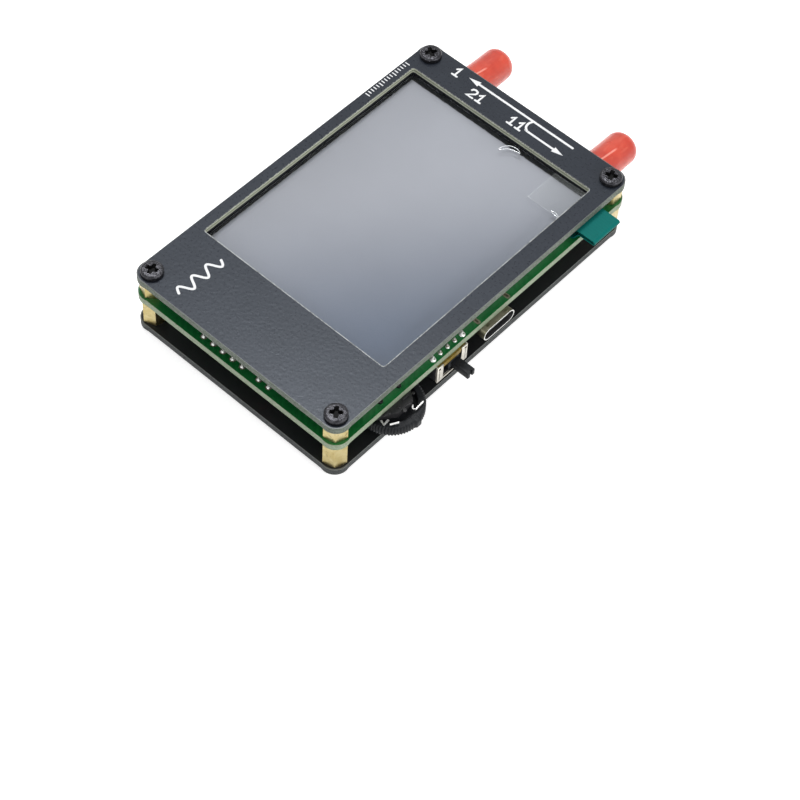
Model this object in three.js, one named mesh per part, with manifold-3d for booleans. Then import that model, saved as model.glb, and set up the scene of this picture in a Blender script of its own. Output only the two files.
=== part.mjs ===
// Handheld antenna analyzer: two panels and a circuit board on brass standoffs, in millimetres, +Z up.
// The origin is the middle of the back panel's underside. +Y is the end with the coax ports,
// and +X is the side with the jog wheel, the power switch and the charging socket.

import * as THREE from "three";
import { mergeVertices } from "three/addons/utils/BufferGeometryUtils.js";
import Module from "manifold-3d";

const wasm = await Module();
wasm.setup();

// Shared clearances and steps
const overrun = 1;
const joinOverlap = 0.2;
const slideGap = 0.1;
const roundSides = 20;
const arcSteps = 8;

// Display module, its outline the lit area and a border round it
const viewWidth = 45;
const viewLength = 59.1;
const cellBorderX = 2.5;
const cellBorderY = 5.05;
const displayShiftX = -0.3;
const displayShiftY = 1.5;
const foamThickness = 0.5;
const foamMarginX = 7;
const foamMarginY = 3.6;
const trayHeight = 1.9;
const trayFloor = 0.4;
const trayWall = 0.8;
const lightGuideThickness = 0.5;
const cellThickness = 0.9;
const touchThickness = 1;
const touchInset = 0.3;
const filmThickness = 0.1;
const filmInset = 0.2;
const filmHeadroom = 0.1;

// Window in the front panel, round the lit area
const windowMarginX = 0.9;
const windowMarginY = 0.48;
const windowShiftX = -0.7;
const windowShiftY = 4.52;
const windowCorner = 0.6;

// Outline shared by both panels and the board
const sideMargin = 1.68;
const endMargin = 7.78;
const lobeRadius = 2.95;
const edgeSetback = 0.12;
const panelThickness = 1.6;
const boardThickness = 1.6;

// Battery
const batteryWidth = 34;
const batteryLength = 43;
const batteryThickness = 4;
const batteryCorner = 2;
const batteryBevel = 0.7;
const batteryPlaceShare = -0.187;
const batteryEndMargin = 6;
const terraceLength = 3.4;
const terraceInset = 2;
const terraceThickness = 1.6;
const tapeThickness = 0.2;
const tapeMargin = 2;
const leadRadius = 0.6;
const leadSides = 8;
const leadSteps = 10;

// Screws and standoffs
const screwHeadRadius = 2.3;
const screwHeadHeight = 1.15;
const screwCrownHeight = 0.5;
const screwCrownInset = 0.45;
const screwCrownSteps = 3;
const shankRadius = 1.2;
const shankTip = 0.25;
const threadReach = 2.7;
const threadGap = 0.1;
const holeGap = 0.2;
const boreEndGap = 0.3;
const recessLength = 3;
const recessWidth = 0.75;
const recessDepth = 0.7;
const hexFlats = 4.6;
const hexSides = 6;
const hexChamfer = 0.25;
const hexChamferAngle = Math.PI / 6;
const studReach = 2.6;

// Turn of each screw and standoff, one value per corner, in degrees
const topScrewTurns = [39, 24, 57, 18];
const bottomScrewTurns = [12, 66, 31, 80];
const upperHexTurns = [-18, 0, 7, 10];
const lowerHexTurns = [-18, 4, -9, -11];

// Coax ports and their dust caps
const leftPortSet = 11.48;
const rightPortSet = 8.83;
const flangeSize = 6.2;
const flangeThickness = 1.7;
const flangeSet = 0.38;
const flangeNotchGap = 0.15;
const portLegWidth = 1;
const portLegThickness = 1;
const portLegLength = 4.5;
const barrelLength = 8;
const barrelRadius = 3.1;
const threadRootDepth = 0.3;
const threadCount = 8;
const threadRunIn = 0.7;
const barrelWall = 0.95;
const insulatorRecess = 2;
const contactRadius = 0.64;
const contactHoleRadius = 0.4;
const contactHoleDepth = 3;
const contactProud = 0.2;
const contactTailRadius = 0.35;
const contactTailLength = 3.2;
const capSeatGap = 0.1;
const capBaseRadius = 3.8;
const capShoulderRadius = 3.55;
const capEndRadius = 1.8;
const capEndWall = 1.2;
const capEndGap = 0.3;
const capRoundSteps = 5;

// Charging socket
const socketEndSet = 44.43;
const socketReach = 1.32;
const socketLength = 7.3;
const socketWidth = 8.94;
const socketHeight = 3.2;
const socketWall = 0.3;
const socketLegWidth = 0.9;
const socketLegTip = 0.4;
const socketLegSets = [2.3, 6.5];
const socketPlugInset = 0.2;
const socketPlugLength = 2;
const tongueWidth = 6.69;
const tongueThickness = 0.7;
const tongueLength = 4.5;

// Power switch
const switchEndSet = 31.68;
const switchReach = 0.57;
const switchLength = 8.6;
const switchDepth = 4.65;
const switchHeight = 4.5;
const switchSheet = 0.3;
const switchCheek = 1.7;
const switchLegSet = 1.55;
const switchLegWidth = 0.9;
const switchLegTip = 0.5;
const switchBaseThickness = 1;
const switchPinPitch = 2.05;
const switchPinRadius = 0.3;
const switchPinTip = 0.4;
const switchTravel = 2.4;
const sliderLength = 3.6;
const handleWidth = 2;
const handleHeight = 1.6;
const handleReach = 3.85;
const handleGrooveWidth = 0.7;
const handleGrooveDepth = 0.45;

// Jog wheel
const jogEndSet = 17.03;
const jogInset = 1.88;
const jogBaseThickness = 1.5;
const jogBaseFront = 3.8;
const jogBaseBack = 5.2;
const jogBaseLeft = 5.65;
const jogBaseRight = 3.85;
const jogBaseShoulder = 1.2;
const jogFlatLeft = 2.15;
const jogFlatRight = 1.85;
const jogPegRadius = 0.5;
const jogPegTip = 0.3;
const jogPegSetX = 0.3;
const jogPegPlacesY = [-3.55, 1.5];
const jogRoof = 0.45;
const jogPlateSize = 4.4;
const jogPlateThickness = 0.6;
const jogPlateGap = 0.05;
const jogPushTravel = 0.5;
const jogPostRadius = 1.2;
const jogRivetRadius = 1.9;
const jogRivetThickness = 0.5;
const wheelRadius = 6.65;
const wheelThickness = 2.3;
const wheelDrop = 0.4;
const wheelRimWidth = 1.65;
const wheelWebThickness = 1;
const wheelWebLift = 0.4;
const wheelHubRadius = 2.4;
const wheelHubRise = 0.2;
const wheelHubFall = 0.25;
const wheelToothDepth = 0.2;
const wheelTeeth = 48;
const wheelNubReach = 0.4;
const wheelNubWidth = 2;
const wheelNubPlace = 0.4;
const contactStripThickness = 0.22;
const contactStripHeight = 0.6;
const contactStripDrop = 0.2;

// Flat ribbon from the touch glass to the board
const ribbonEndSet = 6.1;
const ribbonWidth = 7.8;
const ribbonThickness = 0.25;
const ribbonSunk = 0.12;
const ribbonBond = 1.6;
const ribbonNotchGap = 0.3;
const ribbonFoldReach = 3.92;
const ribbonFoldRadius = 0.45;
const ribbonReturnReach = 0.92;
const ribbonTouchdown = 1.3;
const ribbonTailGap = 0.8;

// Parts under the board
const canWidth = 40;
const canLength = 22.5;
const canHeight = 2.2;
const canHeadroom = 0.2;
const canSheet = 0.25;
const canPlaceShare = [0, 0.596];
const canHoleRadius = 0.8;
const canHolePitchX = 9;
const canHolePitchY = 8;
const canHolesAcross = 4;
const canHolesAlong = 2;
const chipLift = 0.1;
const legRise = 0.35;
const legReach = 1;
const legThickness = 0.15;
const mixerPlaceShare = 0.45;

// Chips, all under the board
const finePitch = 0.5;
const fineLegWidth = 0.22;
const wideLegWidth = 0.4;
const processorSize = 7;
const processorHeight = 1.2;
const clockSize = 3;
const clockHeight = 0.95;
const codecSize = 5;
const codecHeight = 0.8;
const oscillatorWidth = 3.2;
const oscillatorLength = 2.5;
const oscillatorHeight = 0.8;
const regulatorWidth = 1.6;
const regulatorLength = 2.9;
const regulatorHeight = 1.1;
const regulatorPitch = 0.95;
const mixerWidth = 3.9;
const mixerLength = 4.9;
const mixerHeight = 1.5;
const mixerPitch = 1.27;
const ledWidth = 0.8;
const ledLength = 1.6;
const ledHeight = 0.6;
const ledPlaceShare = 0.95;
const ledGap = 4.55;
const ledPitch = 2.96;

// Heights, from the back panel up
const backTop = panelThickness;
const lowerGap = tapeThickness + batteryThickness + canHeadroom + canHeight;
const boardBottom = backTop + lowerGap;
const boardTop = boardBottom + boardThickness;
const trayBottom = boardTop + foamThickness;
const touchBottom = trayBottom + trayHeight;
const touchTop = touchBottom + touchThickness;
const filmTop = touchTop + filmThickness;
const frontBottom = filmTop + filmHeadroom;
const frontTop = frontBottom + panelThickness;

// Places on the outline
const displayWidth = viewWidth + 2 * cellBorderX;
const displayLength = viewLength + 2 * cellBorderY;
const edgeX = displayWidth / 2 + sideMargin;
const edgeY = displayLength / 2 + endMargin;
const screwX = edgeX + edgeSetback - lobeRadius;
const screwY = edgeY + edgeSetback - lobeRadius;
const cornerSides = [[1, -1], [1, 1], [-1, 1], [-1, -1]];

// Sizes that follow from the ones above
const windowWidth = viewWidth + 2 * windowMarginX;
const windowLength = viewLength + 2 * windowMarginY;
const shankLength = panelThickness + threadReach;
const boreRadius = shankRadius + threadGap;
const shankHoleRadius = shankRadius + holeGap;
const portPlacesX = [leftPortSet - edgeX, edgeX - rightPortSet];
const portPlaceY = edgeY - flangeSet;
const portPlaceZ = boardTop + contactTailRadius;
const portBoreRadius = barrelRadius - barrelWall;
const insulatorRadius = portBoreRadius - slideGap;
const insulatorLength = flangeThickness + barrelLength - insulatorRecess;
const socketPlaceY = socketEndSet - edgeY;
const socketLegSide = (socketWidth - socketWall) / 2;
const switchPlaceY = switchEndSet - edgeY;
const switchLegX = switchReach - switchLegSet;
const switchLegSide = (switchLength - switchSheet) / 2;
const jogPlaceX = edgeX - jogInset;
const jogPlaceY = jogEndSet - edgeY;
const wheelTop = -jogBaseThickness - wheelDrop;
const wheelBottom = wheelTop - wheelThickness;
const touchEdgeX = displayShiftX + displayWidth / 2 - touchInset;
const ribbonPlaceY = displayShiftY + displayLength / 2 - ribbonEndSet;
const ribbonUpperFloor = touchTop - ribbonSunk - ribbonThickness;

// Solids and meshes
function toSolid(geometry) {
  geometry.deleteAttribute("normal");
  geometry.deleteAttribute("uv");
  const merged = mergeVertices(geometry);
  const index = merged.index.array;
  const corners = [];
  for (let i = 0; i < index.length; i += 3) {
    const [a, b, c] = index.slice(i, i + 3);
    if (a !== b && b !== c && c !== a) corners.push(a, b, c);
  }
  const vertProperties = new Float32Array(merged.attributes.position.array);
  const triVerts = new Uint32Array(corners);
  return new wasm.Manifold(new wasm.Mesh({ numProp: 3, vertProperties, triVerts }));
}

function toMesh(name, solid, finish) {
  const { vertProperties, triVerts, numProp } = solid.getMesh();
  const geometry = new THREE.BufferGeometry();
  geometry.setAttribute("position", new THREE.BufferAttribute(vertProperties, numProp));
  geometry.setIndex(new THREE.BufferAttribute(triVerts, 1));
  geometry.computeVertexNormals();
  const mesh = new THREE.Mesh(geometry, finish);
  mesh.name = name;
  return mesh;
}

function block(x0, x1, y0, y1, z0, z1) {
  const geometry = new THREE.BoxGeometry(x1 - x0, y1 - y0, z1 - z0);
  geometry.translate((x0 + x1) / 2, (y0 + y1) / 2, (z0 + z1) / 2);
  return toSolid(geometry);
}

function pad(width, length, z0, z1) {
  return block(-width / 2, width / 2, -length / 2, length / 2, z0, z1);
}

function extruded(shape, depth) {
  return new THREE.ExtrudeGeometry(shape, { depth, bevelEnabled: false, curveSegments: arcSteps });
}

function slab(shape, z0, z1) {
  return toSolid(extruded(shape, z1 - z0).translate(0, 0, z0));
}

// A shape drawn in Y and Z, drawn out along X
function slabAlongX(shape, x0, x1) {
  return toSolid(extruded(shape, x1 - x0).rotateX(Math.PI / 2).rotateZ(Math.PI / 2).translate(x0, 0, 0));
}

// A shape drawn in X and Z, drawn out along Y
function slabAlongY(shape, y0, y1) {
  return toSolid(extruded(shape, y1 - y0).rotateX(Math.PI / 2).translate(0, y1, 0));
}

function rod(radius, z0, z1, x = 0, y = 0) {
  const geometry = new THREE.CylinderGeometry(radius, radius, z1 - z0, roundSides);
  return toSolid(geometry.rotateX(Math.PI / 2).translate(x, y, (z0 + z1) / 2));
}

function lathe(profile) {
  const points = profile.map(([radius, height]) => new THREE.Vector2(radius, height));
  return new THREE.LatheGeometry(points, roundSides);
}

function turnedAlongY(profile) {
  return toSolid(lathe(profile));
}

function turned(profile) {
  return toSolid(lathe(profile).rotateX(Math.PI / 2));
}

function roundedRectangle(path, width, length, radius, x = 0, y = 0) {
  const halfX = width / 2 - radius;
  const halfY = length / 2 - radius;
  cornerSides.forEach(([sideX, sideY], index) => {
    const start = (index - 1) * Math.PI / 2;
    path.absarc(x + sideX * halfX, y + sideY * halfY, radius, start, start + Math.PI / 2, false);
  });
  path.closePath();
  return path;
}

// A strip of even thickness along a line of points
function strip(points, thickness) {
  const headings = points.slice(1).map((point, index) => point.clone().sub(points[index]).normalize());
  const left = [];
  const right = [];
  points.forEach((point, index) => {
    const into = headings[Math.max(index - 1, 0)];
    const out = headings[Math.min(index, headings.length - 1)];
    const side = new THREE.Vector2(-into.y - out.y, into.x + out.x).normalize();
    const spread = thickness / 2 / (side.y * out.x - side.x * out.y);
    left.push(point.clone().addScaledVector(side, spread));
    right.unshift(point.clone().addScaledVector(side, -spread));
  });
  return new THREE.Shape([...right, ...left]);
}

// Outline with a round lobe at each screw, a little proud of the straight edges
function boardOutline(holeRadius) {
  const shape = new THREE.Shape();
  const meet = Math.acos((lobeRadius - edgeSetback) / lobeRadius);
  cornerSides.forEach(([sideX, sideY], index) => {
    const start = (index - 1) * Math.PI / 2;
    const centre = [sideX * screwX, sideY * screwY];
    shape.absarc(...centre, lobeRadius, start - meet, start + Math.PI / 2 + meet, false);
    shape.holes.push(new THREE.Path().absarc(...centre, holeRadius, 0, 2 * Math.PI, true));
  });
  shape.closePath();
  return shape;
}

function frontPanel() {
  const shape = boardOutline(shankHoleRadius);
  const opening = new THREE.Path();
  roundedRectangle(opening, windowWidth, windowLength, windowCorner, windowShiftX, windowShiftY);
  shape.holes.push(opening);
  return slab(shape, 0, panelThickness);
}

function backPanel() {
  return slab(boardOutline(shankHoleRadius), 0, panelThickness);
}

// Slots in the board, cut right through it
function boardSlot(x, y, width, length) {
  const slot = pad(width + 2 * holeGap, length + 2 * holeGap, -overrun, boardThickness + overrun);
  return slot.translate(x, y, 0);
}

function mainBoard() {
  let board = slab(boardOutline(shankHoleRadius), 0, boardThickness);
  for (const x of portPlacesX) {
    const half = flangeSize / 2 + flangeNotchGap;
    const top = boardThickness + overrun;
    board = board.subtract(block(x - half, x + half, portPlaceY, edgeY + overrun, -overrun, top));
  }
  for (const set of socketLegSets) {
    for (const side of [-1, 1]) {
      const x = edgeX + socketReach - set;
      const y = socketPlaceY + side * socketLegSide;
      board = board.subtract(boardSlot(x, y, socketLegWidth, socketWall));
    }
  }
  for (const side of [-1, 1]) {
    const y = switchPlaceY + side * switchLegSide;
    board = board.subtract(boardSlot(edgeX + switchLegX, y, switchLegWidth, switchSheet));
  }
  for (const step of [-1, 0, 1]) {
    const y = switchPlaceY + step * switchPinPitch;
    const radius = switchPinRadius + slideGap;
    board = board.subtract(rod(radius, -overrun, boardThickness + overrun, edgeX + switchLegX, y));
  }
  for (const place of jogPegPlacesY) {
    const radius = jogPegRadius + slideGap;
    const x = jogPlaceX + jogPegSetX;
    board = board.subtract(rod(radius, -overrun, boardThickness + overrun, x, jogPlaceY + place));
  }
  return board;
}

// Pan head screw, its head resting on the plane z = 0
function screw() {
  const profile = [
    [0, -shankLength],
    [shankRadius - shankTip, -shankLength],
    [shankRadius, shankTip - shankLength],
    [shankRadius, 0],
    [screwHeadRadius, 0],
  ];
  for (let step = 0; step <= screwCrownSteps; step += 1) {
    const angle = step / screwCrownSteps * Math.PI / 2;
    const radius = screwHeadRadius - screwCrownInset * (1 - Math.cos(angle));
    profile.push([radius, screwHeadHeight - screwCrownHeight * (1 - Math.sin(angle))]);
  }
  profile.push([0, screwHeadHeight]);
  const floor = screwHeadHeight - recessDepth;
  const cross = pad(recessLength, recessWidth, floor, screwHeadHeight + overrun)
    .add(pad(recessWidth, recessLength, floor, screwHeadHeight + overrun));
  return turned(profile).subtract(cross);
}

// Hexagonal bar with its end corners turned off
function hexBar(height) {
  const corner = hexFlats / Math.sqrt(3);
  const bar = new THREE.CylinderGeometry(corner, corner, height, hexSides);
  const spread = hexChamfer / Math.tan(hexChamferAngle);
  const turning = turned([
    [0, 0],
    [hexFlats / 2, 0],
    [hexFlats / 2 + spread, hexChamfer],
    [hexFlats / 2 + spread, height - hexChamfer],
    [hexFlats / 2, height],
    [0, height],
  ]);
  return toSolid(bar.rotateX(Math.PI / 2).translate(0, 0, height / 2)).intersect(turning);
}

function upperStandoff() {
  const height = frontBottom - boardTop;
  const boreFloor = height - threadReach - boreEndGap;
  return hexBar(height)
    .add(rod(shankRadius, -boardThickness - studReach, joinOverlap))
    .subtract(rod(boreRadius, boreFloor, height + overrun));
}

function lowerStandoff() {
  return hexBar(lowerGap).subtract(rod(boreRadius, -overrun, lowerGap + overrun));
}

// Display pieces, each centred on the module
function displayTray() {
  const [width, length] = [displayWidth - 2 * trayWall, displayLength - 2 * trayWall];
  const recess = pad(width, length, trayFloor, trayHeight + overrun);
  return pad(displayWidth, displayLength, 0, trayHeight).subtract(recess);
}

function displayLayer(thickness) {
  const margin = trayWall + slideGap;
  return pad(displayWidth - 2 * margin, displayLength - 2 * margin, 0, thickness);
}

function displayFoam() {
  return pad(displayWidth - 2 * foamMarginX, displayLength - 2 * foamMarginY, 0, foamThickness);
}

function touchGlass() {
  const glass = pad(displayWidth - 2 * touchInset, displayLength - 2 * touchInset, 0, touchThickness);
  const edge = displayWidth / 2 - touchInset;
  const half = ribbonWidth / 2 + ribbonNotchGap;
  const middle = ribbonPlaceY - displayShiftY;
  const floor = ribbonUpperFloor - touchBottom;
  const inner = edge - ribbonBond - ribbonNotchGap;
  const top = touchThickness + overrun;
  return glass.subtract(block(inner, edge + overrun, middle - half, middle + half, floor, top));
}

function screenFilm() {
  return pad(windowWidth - 2 * filmInset, windowLength - 2 * filmInset, 0, filmThickness);
}

// The ribbon leaves the glass, folds back past the board edge and lies down on the board
function displayRibbon() {
  const half = ribbonThickness / 2;
  const upper = ribbonUpperFloor + half;
  const lower = boardTop + half;
  const fold = edgeX + ribbonFoldReach;
  const returnEnd = edgeX + ribbonReturnReach;
  const landing = edgeX - ribbonTouchdown;
  const middle = (returnEnd + landing) / 2;
  const returnLeg = upper - 2 * ribbonFoldRadius;
  const line = new THREE.Path();
  line.moveTo(touchEdgeX - ribbonBond, upper);
  line.absarc(fold, upper - ribbonFoldRadius, ribbonFoldRadius, Math.PI / 2, -Math.PI / 2, true);
  line.lineTo(returnEnd, returnLeg);
  line.bezierCurveTo(middle, returnLeg, middle, lower, landing, lower);
  line.lineTo(displayShiftX + displayWidth / 2 - foamMarginX + ribbonTailGap, lower);
  const points = line.getPoints(arcSteps);
  return slabAlongY(strip(points, ribbonThickness), -ribbonWidth / 2, ribbonWidth / 2);
}

// Coax port, its axis along +Y from the back of the flange
function portBody() {
  const end = flangeThickness + barrelLength;
  const root = barrelRadius - threadRootDepth;
  const pitch = (barrelLength - 2 * threadRunIn) / threadCount;
  const profile = [[0, joinOverlap], [root, joinOverlap]];
  for (let turn = 0; turn < threadCount; turn += 1) {
    const start = flangeThickness + threadRunIn + turn * pitch;
    profile.push([root, start]);
    profile.push([barrelRadius, start + pitch / 2]);
  }
  profile.push([root, end - threadRunIn], [root, end], [0, end]);
  const half = flangeSize / 2;
  let body = turnedAlongY(profile).add(block(-half, half, 0, flangeThickness, -half, half));
  body = body.subtract(turnedAlongY([
    [0, -overrun],
    [portBoreRadius, -overrun],
    [portBoreRadius, end + overrun],
    [0, end + overrun],
  ]));
  const top = -contactTailRadius;
  const underside = top - boardThickness;
  for (const side of [-1, 1]) {
    const outer = side * half;
    const inner = side * (half - portLegWidth);
    const [x0, x1] = [Math.min(outer, inner), Math.max(outer, inner)];
    body = body.add(block(x0, x1, -portLegLength, joinOverlap, top, top + portLegThickness));
    body = body.add(block(x0, x1, -portLegLength, joinOverlap, underside - portLegThickness, underside));
  }
  return body;
}

function portInsulator() {
  const bore = contactRadius + slideGap;
  return turnedAlongY([
    [bore, 0],
    [insulatorRadius, 0],
    [insulatorRadius, insulatorLength],
    [bore, insulatorLength],
    [bore, 0],
  ]);
}

function portContact() {
  const front = insulatorLength + contactProud;
  return turnedAlongY([
    [0, -contactTailLength],
    [contactTailRadius, -contactTailLength],
    [contactTailRadius, 0],
    [contactRadius, 0],
    [contactRadius, front],
    [contactHoleRadius, front],
    [contactHoleRadius, front - contactHoleDepth],
    [0, front - contactHoleDepth],
  ]);
}

// Dust cap with its mouth at y = 0
function dustCap() {
  const boreDepth = barrelLength - capSeatGap + capEndGap;
  const length = boreDepth + capEndWall;
  const bore = barrelRadius + slideGap;
  const profile = [[0, boreDepth], [bore, boreDepth], [bore, 0], [capBaseRadius, 0]];
  for (let step = 0; step <= capRoundSteps; step += 1) {
    const angle = step / capRoundSteps * Math.PI / 2;
    const radius = capShoulderRadius - capEndRadius * (1 - Math.cos(angle));
    profile.push([radius, length - capEndRadius * (1 - Math.sin(angle))]);
  }
  profile.push([0, length]);
  return turnedAlongY(profile);
}

// Charging socket, from the board edge inward, hanging under the board
function socketSection(inset) {
  const [width, height] = [socketWidth - 2 * inset, socketHeight - 2 * inset];
  return roundedRectangle(new THREE.Shape(), width, height, height / 2, 0, -socketHeight / 2);
}

function socketShell() {
  const section = socketSection(0);
  section.holes.push(socketSection(socketWall));
  let shell = slabAlongX(section, socketReach - socketLength, socketReach);
  const [legFloor, legTop] = [joinOverlap - socketHeight / 2, boardThickness + socketLegTip];
  for (const set of socketLegSets) {
    const x = socketReach - set;
    for (const side of [-1, 1]) {
      const leg = pad(socketLegWidth, socketWall, legFloor, legTop);
      shell = shell.add(leg.translate(x, side * socketLegSide, 0));
    }
  }
  return shell;
}

function socketTongue() {
  const back = socketReach - socketLength + socketPlugInset;
  const front = back + socketPlugLength;
  const middle = -socketHeight / 2;
  const tongue = block(
    front - joinOverlap, front + tongueLength,
    -tongueWidth / 2, tongueWidth / 2,
    middle - tongueThickness / 2, middle + tongueThickness / 2,
  );
  return slabAlongX(socketSection(socketWall + slideGap), back, front).add(tongue);
}

// Power switch, from the board edge, hanging under the board
function switchFrame() {
  const back = switchReach - switchDepth;
  const half = switchLength / 2;
  const open = half - switchCheek;
  const floor = switchSheet - switchHeight;
  let frame = block(back, switchReach, -half, half, -switchHeight, 0);
  const innerHalf = half - switchSheet;
  frame = frame.subtract(
    block(back + switchSheet, switchReach - switchSheet, -innerHalf, innerHalf, floor, overrun),
  );
  frame = frame.subtract(block(0, switchReach + overrun, -open, open, floor, overrun));
  for (const side of [-1, 1]) {
    const leg = pad(switchLegWidth, switchSheet, -joinOverlap, boardThickness + switchLegTip);
    frame = frame.add(leg.translate(switchLegX, side * switchLegSide, 0));
  }
  return frame;
}

function switchBase() {
  const back = switchReach - switchDepth + switchSheet + slideGap;
  const inner = switchReach - switchSheet - slideGap;
  const half = switchLength / 2 - switchSheet - slideGap;
  const tab = switchLength / 2 - switchCheek - slideGap;
  let base = block(back, inner, -half, half, -switchBaseThickness, 0);
  base = base.add(block(back, switchReach - slideGap, -tab, tab, -switchBaseThickness, 0));
  for (const step of [-1, 0, 1]) {
    const top = boardThickness + switchPinTip;
    base = base.add(rod(switchPinRadius, -joinOverlap, top, switchLegX, step * switchPinPitch));
  }
  return base;
}

function switchSlider() {
  const back = switchReach - switchDepth + switchSheet + slideGap;
  const front = switchReach - switchSheet - slideGap;
  const floor = switchSheet - switchHeight + slideGap;
  const half = sliderLength / 2;
  const handle = block(
    front - joinOverlap, switchReach + handleReach,
    -handleWidth / 2, handleWidth / 2,
    floor + slideGap, floor + slideGap + handleHeight,
  );
  const end = switchReach + handleReach;
  const groove = block(
    end - handleGrooveDepth, end + overrun,
    -handleGrooveWidth / 2, handleGrooveWidth / 2,
    floor - overrun, floor + handleHeight + overrun,
  );
  return block(back, front, -half, half, floor, -switchBaseThickness - slideGap).add(handle).subtract(groove);
}

// Jog wheel, round its own axis, hanging under the board
function jogBase() {
  const outline = new THREE.Shape();
  outline.moveTo(-jogBaseBack, -jogBaseLeft);
  outline.lineTo(jogBaseShoulder, -jogBaseLeft);
  outline.lineTo(jogBaseFront, -jogFlatLeft);
  outline.lineTo(jogBaseFront, jogFlatRight);
  outline.lineTo(jogBaseShoulder, jogBaseRight);
  outline.lineTo(-jogBaseBack, jogBaseRight);
  outline.closePath();
  const half = jogPlateSize / 2 + slideGap;
  const cavityFloor = -jogRoof - jogPlateThickness - 2 * jogPlateGap;
  const slotHalf = jogPostRadius + slideGap;
  let base = slab(outline, -jogBaseThickness, 0);
  base = base.subtract(block(-half - jogPushTravel, half, -half, half, cavityFloor, -jogRoof));
  base = base.subtract(
    block(-slotHalf - jogPushTravel, slotHalf, -slotHalf, slotHalf, -jogBaseThickness - overrun, -jogRoof),
  );
  for (const place of jogPegPlacesY) {
    base = base.add(rod(jogPegRadius, -joinOverlap, boardThickness + jogPegTip, jogPegSetX, place));
  }
  return base;
}

function jogCarriage() {
  const top = -jogRoof - jogPlateGap;
  const bottom = top - jogPlateThickness;
  const rivetTop = wheelBottom - wheelHubFall - slideGap;
  return pad(jogPlateSize, jogPlateSize, bottom, top)
    .add(rod(jogPostRadius, rivetTop - joinOverlap, bottom + joinOverlap))
    .add(rod(jogRivetRadius, rivetTop - jogRivetThickness, rivetTop));
}

function wheelOutline() {
  const shape = new THREE.Shape();
  const pitch = 2 * Math.PI / wheelTeeth;
  const root = wheelRadius - wheelToothDepth;
  const points = [];
  for (let tooth = 0; tooth < wheelTeeth; tooth += 1) {
    [root, wheelRadius, wheelRadius, root].forEach((radius, quarter) => {
      const angle = (tooth + quarter / 4) * pitch;
      points.push(new THREE.Vector2(radius * Math.cos(angle), radius * Math.sin(angle)));
    });
  }
  shape.setFromPoints(points);
  shape.holes.push(new THREE.Path().absarc(0, 0, wheelRadius - wheelRimWidth, 0, 2 * Math.PI, true));
  return shape;
}

function jogWheel() {
  const rimInner = wheelRadius - wheelRimWidth;
  const webBottom = wheelBottom + wheelWebLift;
  const nubHalf = wheelNubWidth / 2;
  return slab(wheelOutline(), wheelBottom, wheelTop)
    .add(rod(rimInner + joinOverlap, webBottom, webBottom + wheelWebThickness))
    .add(rod(wheelHubRadius, wheelBottom - wheelHubFall, wheelTop + wheelHubRise))
    .add(block(
      rimInner + joinOverlap, wheelRadius + wheelNubReach,
      wheelNubPlace - nubHalf, wheelNubPlace + nubHalf,
      wheelBottom, wheelTop,
    ))
    .subtract(rod(jogPostRadius + slideGap, wheelBottom - overrun, wheelTop + overrun));
}

// Sprung contact strips standing in front of the jog base, as shares of the base's own sizes
function contactStrip(shares) {
  const points = shares.map(([x, y]) => new THREE.Vector2(x * jogBaseFront, y * jogBaseLeft));
  const top = wheelTop + contactStripDrop + contactStripHeight;
  return slab(strip(points, contactStripThickness), wheelTop + contactStripDrop, top);
}

const leftStripShares = [[0.53, -0.87], [0.83, -0.965], [0.78, -0.7], [1.04, -0.77], [1.24, -0.5]];
const rightStripShares = [[1.08, 0.3], [1.18, 0.2], [1.34, 0.25], [1.14, 0.68]];

// Pouch battery with the folded terrace that its leads leave from
function batteryCell() {
  const outline = new THREE.Shape();
  const inset = 2 * batteryBevel;
  roundedRectangle(outline, batteryWidth - inset, batteryLength - inset, batteryCorner - batteryBevel);
  const pouch = new THREE.ExtrudeGeometry(outline, {
    depth: batteryThickness - inset,
    bevelThickness: batteryBevel,
    bevelSize: batteryBevel,
    bevelSegments: 2,
    curveSegments: 2,
  });
  const half = batteryWidth / 2 - terraceInset;
  const end = -batteryLength / 2;
  const middle = batteryThickness / 2;
  return toSolid(pouch.translate(0, 0, batteryBevel)).add(block(
    -half, half,
    end - terraceLength, end + batteryBevel + joinOverlap,
    middle - terraceThickness / 2, middle + terraceThickness / 2,
  ));
}

function batteryTape() {
  return pad(batteryWidth - 2 * tapeMargin, batteryLength - 2 * tapeMargin, 0, tapeThickness);
}

// Battery leads, each along points chosen by hand, from the battery's middle and the board's end
const redLeadRoute = [
  [10.49, 5.68, 3.8],
  [10.39, 3.98, 3.8],
  [10.09, 2.28, 4.5],
  [10.29, 1.28, 5.9],
  [10.49, 1.28, 7.9],
];
const blackLeadRoute = [
  [12.99, 5.68, 3.8],
  [13.09, 4.08, 3.9],
  [13.39, 2.48, 4.8],
  [13.19, 1.38, 6.1],
  [12.99, 1.28, 7.9],
];

function lead(route) {
  const curve = new THREE.CatmullRomCurve3(route.map((point) => new THREE.Vector3(...point)));
  const section = new THREE.Shape();
  const points = [];
  for (let side = 0; side < leadSides; side += 1) {
    const angle = side / leadSides * 2 * Math.PI;
    points.push(new THREE.Vector2(leadRadius * Math.cos(angle), leadRadius * Math.sin(angle)));
  }
  section.setFromPoints(points);
  return toSolid(new THREE.ExtrudeGeometry(section, { steps: leadSteps, extrudePath: curve }));
}

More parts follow.
